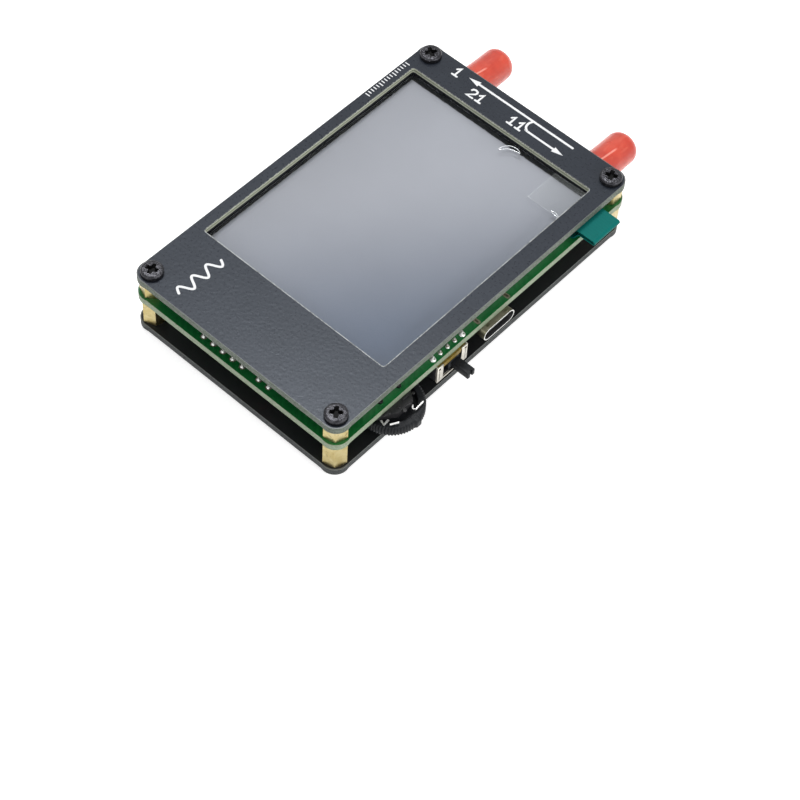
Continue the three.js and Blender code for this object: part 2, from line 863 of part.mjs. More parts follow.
// Screening can under the board, open towards it
function shieldCan() {
  const inner = canSheet - canHeight;
  let can = pad(canWidth, canLength, -canHeight, 0);
  can = can.subtract(pad(canWidth - 2 * canSheet, canLength - 2 * canSheet, inner, overrun));
  for (let across = 0; across < canHolesAcross; across += 1) {
    for (let along = 0; along < canHolesAlong; along += 1) {
      const x = (across - (canHolesAcross - 1) / 2) * canHolePitchX;
      const y = (along - (canHolesAlong - 1) / 2) * canHolePitchY;
      can = can.subtract(rod(canHoleRadius, -canHeight - overrun, inner + overrun, x, y));
    }
  }
  return can;
}

// Chip under the board, with bent legs along two or four of its sides
function chip({ width, length, height, legs = 0, pitch = 0, legWidth = 0, sides = [] }) {
  let body = pad(width, length, -height, -chipLift);
  const rise = -(height + chipLift) / 2;
  const leg = new THREE.Shape();
  leg.moveTo(-joinOverlap, rise);
  leg.lineTo(legRise, rise);
  leg.lineTo(legRise, -legThickness);
  leg.lineTo(legReach, -legThickness);
  leg.lineTo(legReach, 0);
  leg.lineTo(legRise - legThickness, 0);
  leg.lineTo(legRise - legThickness, rise + legThickness);
  leg.lineTo(-joinOverlap, rise + legThickness);
  leg.closePath();
  for (const side of sides) {
    const reach = side % 2 ? length / 2 : width / 2;
    for (let count = 0; count < legs; count += 1) {
      const place = (count - (legs - 1) / 2) * pitch;
      const geometry = extruded(leg, legWidth).rotateX(Math.PI / 2);
      geometry.translate(reach, place + legWidth / 2, 0).rotateZ(side * Math.PI / 2);
      body = body.add(toSolid(geometry));
    }
  }
  return body;
}

const chips = [
  {
    name: "processor", placeShare: [0.08, -0.4],
    width: processorSize, length: processorSize, height: processorHeight,
    legs: 12, pitch: finePitch, legWidth: fineLegWidth, sides: [0, 1, 2, 3],
  },
  {
    name: "clock_generator", placeShare: [-0.4, 0.17],
    width: clockSize, length: clockSize, height: clockHeight,
    legs: 5, pitch: finePitch, legWidth: fineLegWidth, sides: [0, 2],
  },
  {
    name: "audio_codec", placeShare: [0.35, -0.06],
    width: codecSize, length: codecSize, height: codecHeight,
  },
  {
    name: "reference_oscillator", placeShare: [-0.6, 0.17],
    width: oscillatorWidth, length: oscillatorLength, height: oscillatorHeight,
  },
  {
    name: "charge_regulator", placeShare: [0.6, -0.12],
    width: regulatorWidth, length: regulatorLength, height: regulatorHeight,
    legs: 3, pitch: regulatorPitch, legWidth: wideLegWidth, sides: [0, 2],
  },
];
const led = { width: ledWidth, length: ledLength, height: ledHeight };
const mixer = {
  width: mixerWidth, length: mixerLength, height: mixerHeight,
  legs: 4, pitch: mixerPitch, legWidth: wideLegWidth, sides: [0, 2],
};

// Finishes
function finish(color, roughness, metalness = 0, more = {}) {
  return new THREE.MeshStandardMaterial({ color, roughness, metalness, flatShading: true, ...more });
}

const panelPaint = finish(0x33363b, 0.55);
const boardMask = finish(0x0f4a26, 0.4);
const blackSteel = finish(0x1b1b1d, 0.4, 0.6);
const brass = finish(0xd2bc7e, 0.35, 0.9);
const goldPlate = finish(0xc9a24a, 0.3, 1);
const tinPlate = finish(0xc8c8c6, 0.3, 1);
const sheetSteel = finish(0xb9bcbf, 0.35, 1);
const whitePlastic = finish(0xe6e6e2, 0.5);
const blackPlastic = finish(0x222226, 0.5);
const charcoalPlastic = finish(0x2f3033, 0.45);
const amberBoard = finish(0xa8741f, 0.6);
const redVinyl = finish(0xd94f30, 0.35);
const clearGlass = finish(0xb7bcc4, 0.1, 0, { transparent: true, opacity: 0.4 });
const litGlass = finish(0x9aa1ab, 0.2);
const guidePlastic = finish(0xf0f2f0, 0.4);
const foamBlack = finish(0x303030, 0.95);
const ribbonFilm = finish(0x186e69, 0.45);
const pouchFoil = finish(0x9fa3a8, 0.45, 0.6);
const tapeFinish = finish(0xe0e0d8, 0.8);
const redWire = finish(0xb3201c, 0.5);
const blackWire = finish(0x161616, 0.5);
const chipResin = finish(0x1c1c1e, 0.6);
const ledLens = finish(0xe8ebd8, 0.3);

// Assembly
const analyzer = new THREE.Group();

function place(mesh, x, y, z, turn = 0) {
  mesh.position.set(x, y, z);
  mesh.rotation.z = turn;
  analyzer.add(mesh);
  return mesh;
}

place(toMesh("front_panel", frontPanel(), panelPaint), 0, 0, frontBottom);
place(toMesh("main_board", mainBoard(), boardMask), 0, 0, boardBottom);
place(toMesh("back_panel", backPanel(), panelPaint), 0, 0, 0);

cornerSides.forEach(([sideX, sideY], index) => {
  const [x, y, number] = [sideX * screwX, sideY * screwY, index + 1];
  const degree = THREE.MathUtils.degToRad;
  place(toMesh(`top_screw_${number}`, screw(), blackSteel), x, y, frontTop, degree(topScrewTurns[index]));
  const under = toMesh(`bottom_screw_${number}`, screw(), blackSteel);
  place(under, x, y, 0, degree(bottomScrewTurns[index])).rotation.x = Math.PI;
  const upperHex = toMesh(`upper_standoff_${number}`, upperStandoff(), brass);
  place(upperHex, x, y, boardTop, degree(upperHexTurns[index]));
  const lowerHex = toMesh(`lower_standoff_${number}`, lowerStandoff(), brass);
  place(lowerHex, x, y, backTop, degree(lowerHexTurns[index]));
});

const display = new THREE.Group();
display.position.set(displayShiftX, displayShiftY, 0);
analyzer.add(display);
const guideBottom = trayBottom + trayFloor;
const displayPieces = [
  [toMesh("display_foam", displayFoam(), foamBlack), boardTop],
  [toMesh("display_tray", displayTray(), whitePlastic), trayBottom],
  [toMesh("display_light_guide", displayLayer(lightGuideThickness), guidePlastic), guideBottom],
  [toMesh("display_cell", displayLayer(cellThickness), litGlass), guideBottom + lightGuideThickness],
  [toMesh("touch_glass", touchGlass(), clearGlass), touchBottom],
];
for (const [mesh, height] of displayPieces) {
  mesh.position.z = height;
  display.add(mesh);
}
place(toMesh("screen_film", screenFilm(), clearGlass), windowShiftX, windowShiftY, touchTop);
place(toMesh("display_ribbon", displayRibbon(), ribbonFilm), 0, ribbonPlaceY, 0);

portPlacesX.forEach((x, index) => {
  const port = new THREE.Group();
  port.position.set(x, portPlaceY, portPlaceZ);
  const number = index + 1;
  const cap = toMesh(`dust_cap_${number}`, dustCap(), redVinyl);
  cap.position.y = flangeThickness + capSeatGap;
  port.add(
    toMesh(`port_body_${number}`, portBody(), goldPlate),
    toMesh(`port_insulator_${number}`, portInsulator(), whitePlastic),
    toMesh(`port_contact_${number}`, portContact(), goldPlate),
    cap,
  );
  analyzer.add(port);
});

const socket = new THREE.Group();
socket.position.set(edgeX, socketPlaceY, boardBottom);
socket.add(
  toMesh("usb_shell", socketShell(), sheetSteel),
  toMesh("usb_tongue", socketTongue(), blackPlastic),
);
analyzer.add(socket);

const powerSwitch = new THREE.Group();
powerSwitch.position.set(edgeX, switchPlaceY, boardBottom);
const slider = toMesh("power_switch_slider", switchSlider(), charcoalPlastic);
slider.position.y = switchTravel / 2;
powerSwitch.add(
  toMesh("power_switch_frame", switchFrame(), sheetSteel),
  toMesh("power_switch_base", switchBase(), amberBoard),
  slider,
);
analyzer.add(powerSwitch);

const jog = new THREE.Group();
jog.position.set(jogPlaceX, jogPlaceY, boardBottom);
jog.add(
  toMesh("jog_base", jogBase(), blackPlastic),
  toMesh("jog_carriage", jogCarriage(), blackPlastic),
  toMesh("jog_wheel", jogWheel(), charcoalPlastic),
  toMesh("jog_contact_left", contactStrip(leftStripShares), tinPlate),
  toMesh("jog_contact_right", contactStrip(rightStripShares), tinPlate),
);
analyzer.add(jog);

const batteryX = batteryPlaceShare * edgeX;
const batteryY = batteryEndMargin + terraceLength + batteryLength / 2 - edgeY;
place(toMesh("battery_tape", batteryTape(), tapeFinish), batteryX, batteryY, backTop);
place(toMesh("battery_cell", batteryCell(), pouchFoil), batteryX, batteryY, backTop + tapeThickness);
place(toMesh("battery_lead_red", lead(redLeadRoute), redWire), batteryX, -edgeY, 0);
place(toMesh("battery_lead_black", lead(blackLeadRoute), blackWire), batteryX, -edgeY, 0);

const [canX, canY] = [canPlaceShare[0] * edgeX, canPlaceShare[1] * edgeY];
place(toMesh("shield_can", shieldCan(), sheetSteel), canX, canY, boardBottom);
for (const step of [-1, 0, 1]) {
  const x = canX + step * mixerPlaceShare * edgeX;
  place(toMesh(`mixer_${step + 2}`, chip(mixer), chipResin), x, canY, boardBottom);
}
for (const item of chips) {
  const [x, y] = [item.placeShare[0] * edgeX, item.placeShare[1] * edgeY];
  place(toMesh(item.name, chip(item), chipResin), x, y, boardBottom);
}
["status_led", "charge_led"].forEach((name, index) => {
  const y = socketPlaceY + (socketWidth + ledLength) / 2 + ledGap + index * ledPitch;
  place(toMesh(name, chip(led), ledLens), ledPlaceShare * edgeX, y, boardBottom);
});

export default analyzer;
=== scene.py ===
import random
from math import ceil, cos, exp, hypot, pi, radians, sin

import bmesh
import bpy
from mathutils import Matrix, Vector


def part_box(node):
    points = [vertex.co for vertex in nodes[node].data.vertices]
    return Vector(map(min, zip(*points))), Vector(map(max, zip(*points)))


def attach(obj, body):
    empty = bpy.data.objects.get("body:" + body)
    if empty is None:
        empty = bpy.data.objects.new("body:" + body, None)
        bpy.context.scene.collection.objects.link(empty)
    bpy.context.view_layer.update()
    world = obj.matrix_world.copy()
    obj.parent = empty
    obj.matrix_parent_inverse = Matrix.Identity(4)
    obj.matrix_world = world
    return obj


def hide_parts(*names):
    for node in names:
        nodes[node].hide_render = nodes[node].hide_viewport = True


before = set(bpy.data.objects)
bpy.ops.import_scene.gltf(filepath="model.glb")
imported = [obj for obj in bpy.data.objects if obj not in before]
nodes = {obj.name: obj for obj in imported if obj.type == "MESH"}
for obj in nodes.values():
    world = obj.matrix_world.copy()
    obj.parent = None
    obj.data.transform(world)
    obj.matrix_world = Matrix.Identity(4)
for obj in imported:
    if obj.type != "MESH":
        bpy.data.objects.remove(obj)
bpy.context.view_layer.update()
mm = 0.001  # shapes are drawn in millimetres and come out in metres
still = Matrix.Identity(4)
print("frame loaded with", len(nodes), "nodes")

camera = {
    "place": (0.17920354, -0.21353493, 0.34788361),
    "turn": (35.43271499, -2.34257745, 42.25884849),
    "lens": 100.856,
    "sensor": 36.0,
}


def addObject(name, data):
    made = bpy.data.objects.new(name, data)
    bpy.context.scene.collection.objects.link(made)
    return made


def setCamera():
    data = bpy.data.cameras.new("camera")
    data.lens = camera["lens"]
    data.sensor_width = camera["sensor"]
    data.clip_start, data.clip_end = 0.01, 20
    seer = addObject("camera", data)
    seer.location = camera["place"]
    seer.rotation_euler = [radians(angle) for angle in camera["turn"]]
    bpy.context.scene.camera = seer


setCamera()
print("camera set")


# places that several pieces share

board = {"low": 8.2, "high": 9.8}
panelFace = 15.0
plate = {"middle": (0.0, 0.0), "half": (26.68, 42.38), "corner": 2.9}
window = {"middle": (-0.7, 4.52), "half": (23.4, 30.03), "corner": 0.6}
film = {"middle": (-0.7, 4.52), "half": (23.2, 29.83), "floor": 13.2, "thick": 0.1}
tab = {"middle": (18.3, 29.95), "half": (4.1, 4.25), "thick": 0.05}
ports = [(-15.2, "left_cap"), (17.85, "right_cap")]
portZ = 10.15


# shaders

def shade(red, green, blue):  # 0 to 255 as read off a screen, to the values Blender works with
    def lift(value):
        value /= 255
        return value / 12.92 if value < 0.04045 else ((value + 0.055) / 1.055) ** 2.4
    return (lift(red), lift(green), lift(blue), 1.0)


class Signal:  # one output of a node
    def __init__(self, paint, socket):
        self.paint = paint
        self.socket = socket

    def __add__(self, other):
        return self.paint.sum("ADD", self, other)

    def __sub__(self, other):
        return self.paint.sum("SUBTRACT", self, other)

    def __rsub__(self, other):
        return self.paint.sum("SUBTRACT", other, self)

    def __mul__(self, other):
        return self.paint.sum("MULTIPLY", self, other)

    def __truediv__(self, other):
        return self.paint.sum("DIVIDE", self, other)

    def __pow__(self, other):
        return self.paint.sum("POWER", self, other)

    __radd__ = __add__
    __rmul__ = __mul__


class Paint:  # the nodes of a material, or of the world
    def __init__(self, owner):
        owner.use_nodes = True
        self.tree = owner.node_tree
        self.tree.nodes.clear()

    def node(self, kind, settings=None, inputs=None, output=0):
        made = self.tree.nodes.new("ShaderNode" + kind)
        for setting, value in (settings or {}).items():
            setattr(made, setting, value)
        for key, value in (inputs or {}).items():
            if isinstance(value, Signal):
                self.tree.links.new(value.socket, made.inputs[key])
            else:
                made.inputs[key].default_value = value
        return Signal(self, made.outputs[output])

    def sum(self, operation, *values):
        return self.node("Math", {"operation": operation}, dict(enumerate(values)))

    def size(self, value):
        return self.sum("ABSOLUTE", value)

    def least(self, first, second):
        return self.sum("MINIMUM", first, second)

    def most(self, first, second):
        return self.sum("MAXIMUM", first, second)

    def place(self, *stretch):  # where on the piece, in millimetres
        spot = self.node("TexCoord", output="Object")
        scale = [1000 * share for share in stretch or (1, 1, 1)]
        return self.node("VectorMath", {"operation": "MULTIPLY"}, {0: spot, 1: scale})

    def split(self, vector=None):
        parts = self.node("SeparateXYZ", inputs={0: vector or self.where})
        return [Signal(self, socket) for socket in parts.socket.node.outputs]

    def noise(self, scale, detail=3, roughness=0.6, where=None):
        values = {"Vector": where or self.where, "Scale": scale, "Detail": detail, "Roughness": roughness}
        return self.node("TexNoise", inputs=values)

    def cells(self, scale, randomness=1.0, where=None):  # distance to the nearest of many dots
        values = {"Vector": where or self.where, "Scale": scale, "Randomness": randomness}
        return self.node("TexVoronoi", inputs=values)

    def ease(self, value, low, high, first=0.0, last=1.0):
        return self.node("MapRange", {"interpolation_type": "SMOOTHSTEP"},
                         {0: value, 1: low, 2: high, 3: first, 4: last})

    def specks(self, scale, reach):
        return self.ease(self.cells(scale), 0.0, reach, 1, 0)

    def blend(self, factor, first, second):  # a tuple is a colour as read off a screen
        first, second = [shade(*tone) if isinstance(tone, tuple) else tone for tone in (first, second)]
        return self.node("Mix", {"data_type": "RGBA"}, {0: factor, 6: first, 7: second}, output=2)

    def fade(self, value, first, second, low=0.3, high=0.7):
        return self.blend(self.ease(value, low, high), first, second)

    def dim(self, colour, factor):
        tone = self.node("CombineXYZ", inputs={0: factor, 1: factor, 2: factor})
        return self.node("VectorMath", {"operation": "MULTIPLY"}, {0: colour, 1: tone})

    def bump(self, height, distance, strength=0.5):
        return self.node("Bump", inputs={"Strength": strength, "Distance": distance * mm, "Height": height})

    def facing(self):  # how far the surface looks up or down, 0 to 1
        return self.size(self.split(self.node("TexCoord", output="Normal"))[2])

    def outline(self, x, y, middle, half, corner):  # distance outside a rounded rectangle, below 0 inside it
        across = self.size(x - middle[0]) - (half[0] - corner)
        along = self.size(y - middle[1]) - (half[1] - corner)
        far = (self.most(across, 0.0) ** 2 + self.most(along, 0.0) ** 2) ** 0.5
        return far + self.least(self.most(across, along), 0.0) - corner

    def surface(self, values):
        names = {"colour": "Base Color", "rough": "Roughness", "metal": "Metallic", "coat": "Coat Weight",
                 "coatRough": "Coat Roughness", "normal": "Normal", "alpha": "Alpha",
                 "gloss": "Specular IOR Level", "tint": "Specular Tint", "skin": "Subsurface Weight",
                 "skinScale": "Subsurface Scale", "skinReach": "Subsurface Radius",
                 "glow": "Emission Color", "glowing": "Emission Strength"}
        return self.node("BsdfPrincipled", inputs={names[key]: value for key, value in values.items()})

    def finish(self, shader=None, kind="Material", **values):
        out = self.tree.nodes.new("ShaderNodeOutput" + kind)
        self.tree.links.new((shader or self.surface(values)).socket, out.inputs["Surface"])


paints = {}


def newPaint(name):
    paints[name] = bpy.data.materials.new(name)
    paint = Paint(paints[name])
    paint.where = paint.place()
    return paint


def cutEdge(paint, up, tones, layer=(0.55, 0.55, 7), fibre=(3.2, 3.2, 2.6), share=0.45, full=0.6, rim=0.66):
    layers = paint.noise(1.0, 4, 0.7, paint.place(*layer))  # bare laminate; up is the height from its middle
    fibres = paint.noise(1.0, 3, 0.7, paint.place(*fibre))
    wall = paint.fade(layers * share + fibres * (1 - share), tones[0], tones[1], 0.38, full)
    return layers, fibres, paint.blend(paint.ease(paint.size(up), rim, 0.76) * 0.85, wall, tones[2])


def panelPaint(name, floor, mask, edge, burrAndHighlight, burrAndHighlightShare, rough, gloss, depth, tint, opened):
    paint = newPaint(name)  # solder mask on both faces, bare laminate on the cut edges
    x, y, z = paint.split()
    up = z - floor
    face = paint.ease(paint.facing(), 0.6, 0.8)
    mottle = paint.noise(1.6)
    mask = paint.fade(paint.noise(0.12), *mask)
    mask = paint.dim(mask, 0.7 + mottle * 0.45 + paint.noise(5) * 0.15)
    mask = paint.blend(paint.specks(0.4, 0.03) * 0.25, mask, (170, 172, 170))
    ground = paint.ease(paint.outline(x, y, **plate), -0.16, -0.05) * burrAndHighlightShare
    _, fibres, wall = cutEdge(paint, up - 0.8, edge)
    if opened:
        hole = paint.outline(x, y, **window)
        rag = paint.ease(paint.noise(3.2, 3, 0.7), 0.45, 0.6)
        ground = paint.most(ground, paint.ease(hole, 0.22, 0.13) * rag * 0.6)
    # the burr tone: a pale burr along the edges, on the back panel a painted highlight
    mask = paint.blend(ground, mask, burrAndHighlight)
    if opened:
        right, low = window["middle"][0] + window["half"][0], window["middle"][1] - window["half"][1]
        near = paint.most(paint.ease(x, right - 0.3, right), paint.ease(y, low + 0.3, low))
        patches = paint.ease(paint.noise(0.9, 3, 0.7), 0.38, 0.62, 0.12, 0.85)
        nearSideHighlight = paint.ease(hole, 0.17, 0.09) * near * patches  # painted highlight: a bright line along the hole's two near sides
        mask = paint.blend(nearSideHighlight, mask, (206, 209, 207))
        # painted light: the hole's wall is far paler than the outer cut edge, with a darker band a little above
        # its middle
        holeWallLightAndShade = paint.fade(paint.size(up - 1.05), (132, 138, 118), (186, 188, 168), 0.12, 0.3)
        holeWallLightAndShade = paint.dim(holeWallLightAndShade, 0.6 + fibres * 0.8)
        holeWallLightAndShade = paint.fade(up, holeWallLightAndShade, (12, 13, 15), 0.62, 0.5)  # painted shade: black on the hole's wall near the screen
        wall = paint.fade(hole, wall, holeWallLightAndShade, 0.5, 0.3)
    height = face * paint.noise(1.4, 1, 0.5) + (1 - face) * fibres
    rough = face * (rough + mottle * 0.14) + (1 - face) * 0.65
    paint.finish(colour=paint.blend(face, wall, mask), rough=rough, gloss=gloss, normal=paint.bump(height, depth),
                 tint=tint)


panels = {
    "frontPanelMask": {
        "floor": 13.4, "mask": ((23, 27, 35), (29, 33, 41)),
        "edge": ((74, 80, 70), (114, 122, 110), (98, 104, 95)),
        "burrAndHighlight": (196, 198, 192), "burrAndHighlightShare": 0.25, "rough": 0.22, "gloss": 0.36, "depth": 0.034,
        "tint": (0.83, 0.9, 1.0, 1), "opened": True},
    "backPanelMask": {
        "floor": 0.0, "mask": ((17, 18, 20), (21, 22, 24)),
        # painted highlights: the pale third edge tone lines the top and bottom of the cut edge, and the burr tone
        # a band along the rims of both faces
        "edge": ((38, 40, 40), (74, 77, 77), (150, 152, 150)),
        "burrAndHighlight": (128, 131, 129), "burrAndHighlightShare": 0.6, "rough": 0.5, "gloss": 0.3, "depth": 0.035,
        "tint": (1, 1, 1, 1), "opened": False},
}
for name, values in panels.items():
    panelPaint(name, **values)


def boardPaint():  # green mask over copper, with tracks and vias
    paint = newPaint("greenBoard")
    flat = paint.place(1, 1, 0)
    z = paint.split()[2]
    face = paint.ease(paint.facing(), 0.6, 0.8)
    wander = paint.noise(0.16, 2, 0.4, flat)
    lanes = paint.node("TexWave", {"wave_type": "BANDS", "bands_direction": "DIAGONAL"},
                       {"Vector": flat, "Scale": 0.42, "Distortion": 3.5, "Detail": 0.0, "Detail Scale": 0.35})
    tracks = paint.ease(lanes, 0.5, 0.62) * paint.ease(wander, 0.5, 0.53)
    copper = paint.most(tracks, paint.ease(wander, 0.46, 0.44))
    vias = paint.cells(0.3, 0.75, flat)
    ring = paint.ease(vias, 0.11, 0.08) * (1 - paint.ease(vias, 0.045, 0.03))
    mask = paint.blend(copper, (22, 103, 49), (26, 111, 54))
    mask = paint.dim(mask, 0.85 + paint.noise(2.5) * 0.3)
    mask = paint.blend(ring * 0.6, mask, (96, 128, 84))
    layers, _, wall = cutEdge(paint, z - (board["low"] + board["high"]) / 2,
                                   ((122, 134, 111), (157, 170, 146), (104, 126, 94)),
                                   (0.6, 0.6, 8), (3, 3, 2.4), 0.5, 0.62, 0.64)
    height = face * (copper * 0.3 + paint.noise(2.5, 2, 0.4) * 0.25) + (1 - face) * layers
    rough = face * (0.24 + paint.noise(1.2, 2, 0.5) * 0.14) + (1 - face) * 0.6
    paint.finish(colour=paint.blend(face, wall, mask), rough=rough, gloss=0.4,
                 normal=paint.bump(height, 0.05))


def metalPaint(name, tones, rough, lines=(2, 2, 14), cloud=0.8, spots=3, stained=0.35, depth=0.012,
               metal=1.0):
    paint = newPaint(name)
    streaks = paint.noise(1.0, where=paint.place(*lines))
    marks = paint.noise(spots, 4, 0.7)
    stain = paint.ease(marks, 0.56, 0.74)
    colour = paint.fade(paint.noise(cloud), tones[0], tones[1])
    colour = paint.blend(stain * stained, colour, tones[2])
    normal = paint.bump(streaks * 0.6 + marks * 0.4, depth)
    paint.finish(colour=colour, rough=rough + streaks * 0.12 + stain * 0.12, metal=metal,
                 normal=normal)


metals = {  # plain, pale and stained colour, roughness, and what differs from most
    "blackSteel": ((38, 38, 42), (64, 64, 68), (10, 10, 12), 0.16,
                   {"lines": (1.6, 1.6, 3), "cloud": 1.4, "depth": 0.3, "metal": 0.75}),
    "brassHex": ((170, 153, 100), (186, 173, 128), (98, 78, 34), 0.26,
                 {"lines": (1.5, 1.5, 9), "stained": 0.7, "spots": 0.9, "cloud": 0.5, "depth": 0.03}),
    "goldPlate": ((206, 168, 88), (222, 190, 114), (140, 100, 44), 0.2, {"lines": (4, 12, 4), "stained": 0.2}),
    "tinSolder": ((196, 196, 194), (220, 220, 218), (96, 92, 86), 0.22,
                  {"lines": (5, 5, 5), "stained": 0.4, "depth": 0.03}),
    "sheetSteel": ((186, 182, 172), (204, 200, 190), (112, 104, 90), 0.28,
                   {"lines": (2, 14, 14), "stained": 0.4}),
    "dullNickel": ((98, 96, 79), (118, 116, 98), (60, 56, 42), 0.24, {"lines": (2, 10, 10), "stained": 0.5}),
    "darkPad": ((126, 128, 104), (150, 150, 128), (66, 62, 44), 0.4, {"metal": 0.6, "stained": 0.6}),
    # also the charging socket's lip, as a painted highlight
    "brightSolder": ((216, 216, 214), (232, 232, 230), (150, 148, 142), 0.32,
                     {"lines": (3, 3, 3), "stained": 0.2, "depth": 0.02, "metal": 0.6}),
    "pouchFoil": ((158, 162, 166), (176, 180, 184), (112, 114, 118), 0.36,
                  {"metal": 0.75, "lines": (0.5, 0.5, 0.5), "cloud": 0.15, "depth": 0.12}),
}


def plasticPaint(name, tones, rough, cloud=0.5, grain=9, speckled=0.25, speck=(180, 178, 172), depth=0.02,
                 gloss=0.5):
    paint = newPaint(name)
    clouds = paint.noise(cloud, 3, 0.55)
    grains = paint.noise(grain)
    colour = paint.dim(paint.fade(clouds, *tones), 0.95 + grains * 0.1)
    colour = paint.blend(paint.specks(1.4, 0.06) * speckled, colour, speck)
    normal = paint.bump(grains * 0.7 + clouds * 0.3, depth)
    paint.finish(colour=colour, rough=rough + clouds * 0.1, normal=normal, gloss=gloss)


plastics = {  # plain and pale colour, roughness, and what differs from most
    # painted shade: a near-black, dull finish for the screws' cross recesses
    "oiledRecess": ((9, 9, 10), (13, 13, 14), 0.5, {"speckled": 0.0, "gloss": 0.12}),
    "whitePlastic": ((214, 214, 210), (222, 222, 218), 0.45, {"speck": (150, 146, 138)}),
    # also the charging socket's inside, as painted shade
    "blackPlastic": ((22, 22, 24), (29, 29, 31), 0.4, {"grain": 7, "depth": 0.03, "speckled": 0.12}),
    "charcoalPlastic": ((28, 30, 33), (35, 37, 40), 0.42,
                        {"grain": 8, "depth": 0.035, "speckled": 0.15, "gloss": 0.16}),
    "amberTape": ((176, 112, 28), (192, 130, 40), 0.25, {"cloud": 0.3, "depth": 0.05}),
    "blackFoam": ((36, 36, 38), (50, 50, 52), 0.85, {"grain": 3, "depth": 0.2}),
    "foamTape": ((206, 204, 194), (218, 216, 206), 0.7, {}),
    "redWire": ((170, 32, 26), (186, 44, 36), 0.4, {}),
    "blackWire": ((24, 24, 26), (32, 32, 34), 0.4, {}),
    "chipResin": ((32, 32, 34), (40, 40, 42), 0.55, {"grain": 10, "depth": 0.03}),
    "lampLens": ((222, 216, 180), (230, 226, 198), 0.25, {}),
    "whiteInk": ((226, 228, 230), (236, 237, 238), 0.5, {"grain": 5, "depth": 0.01, "speckled": 0.1}),
    "tanCeramic": ((140, 112, 78), (154, 126, 92), 0.5, {}),
}
for makePaint, table in ((metalPaint, metals), (plasticPaint, plastics)):
    for name, (*tones, rough, extra) in table.items():
        makePaint(name, tones, rough, **extra)


def trayPaint():  # pale outside, black inside and on the rim, so that the screen's border stays dark
    paint = newPaint("trayPlastic")
    x, y = paint.split()[:2]
    grain = paint.noise(6)
    inner = paint.outline(x, y, (-0.3, 1.5), (25.0, 34.6), 0.1)
    colour = paint.fade(inner, (214, 214, 210), (16, 16, 18), -0.08, -0.16)
    paint.finish(colour=paint.dim(colour, 0.95 + grain * 0.1), rough=0.45 + grain * 0.1,
                 normal=paint.bump(grain, 0.02), gloss=0.3)


def capPaint():  # dipped vinyl, with a slight crease along the top of each cap, painted pale as a highlight streak
    paint = newPaint("redVinyl")
    x, y, z = paint.split()
    cloud = paint.noise(0.22, 3, 0.5)
    dip = paint.noise(0.9, 3, 0.5, where=paint.place(1, 0.35, 1))
    colour = paint.fade(cloud, (209, 72, 48), (192, 54, 32))
    colour = paint.blend(paint.ease(dip, 0.5, 0.75) * 0.25, colour, (226, 118, 94))
    creaseHighlight = 0.0
    for number, (middle, body) in enumerate(ports):
        off = paint.size(x - middle - 0.95 - (y - 45) * 0.1 * (1 - 0.3 * number))
        run = paint.ease(y, 46.5 + 1.6 * number, 45.3 + 1.6 * number) * paint.ease(z - portZ, 2.6, 3.0)
        creaseHighlight = creaseHighlight + paint.ease(off, 0.26, 0.1) * run
    # painted highlight along each crease
    colour = paint.blend(creaseHighlight * 0.75, colour, (246, 160, 144))
    normal = paint.bump(dip * 0.7 + cloud * 0.6 + creaseHighlight * 0.8, 0.09)
    paint.finish(colour=colour, rough=0.24 + cloud * 0.12, normal=normal, skin=0.25,
                 skinScale=0.0012, skinReach=(1.0, 0.35, 0.2), coat=0.25, coatRough=0.2)


def laminatePaint():  # paper laminate, streaked along its layers
    paint = newPaint("amberLaminate")
    layers = paint.noise(1.0, 4, 0.7, where=paint.place(0.8, 0.8, 7))
    flecks = paint.noise(5, 2, 0.5)
    colour = paint.dim(paint.fade(layers, (146, 122, 34), (92, 72, 14)), 0.9 + flecks * 0.2)
    paint.finish(colour=colour, rough=0.45 + flecks * 0.2, normal=paint.bump(layers, 0.03))


lit = {"left": -23.85, "right": 22.4, "low": -26.0, "high": 33.95}


def screenPaint():  # unlit display: dark border round a grey area, with a painted reflection that fades it towards one corner and darkens it a little at the left edge
    paint = newPaint("displayGlass")
    x, y = paint.split()[:2]
    fromLeft = x - lit["left"]
    across = paint.least(fromLeft, lit["right"] - x)
    along = paint.least(y - lit["low"], lit["high"] - y)
    ragged = (paint.noise(1.4, 3, 0.7) - 0.5) * 0.5
    inside = paint.ease(paint.least(across, along) + ragged, -0.12, 0.12) * paint.ease(paint.facing(), 0.6, 0.8)
    reflectionFade = (y - lit["low"]) / (lit["high"] - lit["low"]) - fromLeft / (lit["right"] - lit["left"])
    cloud = paint.noise(0.06, 2, 0.5)
    streaks = paint.noise(0.7, where=paint.place(0.12, 1.1, 1))
    # painted reflection: lighter towards the far left corner, a little darker along the left edge
    grey = paint.dim(paint.fade(reflectionFade, (78, 91, 111), (160, 163, 171), -0.95, 0.36),
                     (0.91 + cloud * 0.12 + streaks * 0.06) * paint.ease(fromLeft, 0, 16, 0.9, 1))
    rough = 0.55 + paint.noise(0.4, 3, 0.5) * 0.08
    normal = paint.bump(paint.noise(3, 2, 0.5), 0.004, 0.3)
    paint.finish(colour=paint.blend(inside, (11, 15, 26), grey), rough=rough, normal=normal,
                 gloss=0.2)


def ribbonPaint():  # flexible circuit: copper tracks under a teal cover film
    paint = newPaint("tealRibbon")
    y = paint.split()[1]
    lanes = paint.node("TexWave", {"wave_type": "BANDS", "bands_direction": "Y"},
                       {"Vector": paint.where, "Scale": 0.45, "Distortion": 0.0})
    tracks = paint.ease(lanes, 0.3, 0.7) * paint.ease(paint.size(y - 30), 3.4, 3.3)
    cloud = paint.noise(0.3, 3, 0.5)
    colour = paint.dim(paint.blend(tracks, (10, 102, 97), (11, 104, 99)), 0.9 + cloud * 0.2)
    paint.finish(colour=colour, rough=0.36 + paint.noise(1.5) * 0.12,
                 normal=paint.bump(tracks * 0.06 + cloud * 0.6, 0.02), gloss=0.08)


for makePaint in (boardPaint, trayPaint, capPaint, laminatePaint, screenPaint, ribbonPaint):
    makePaint()


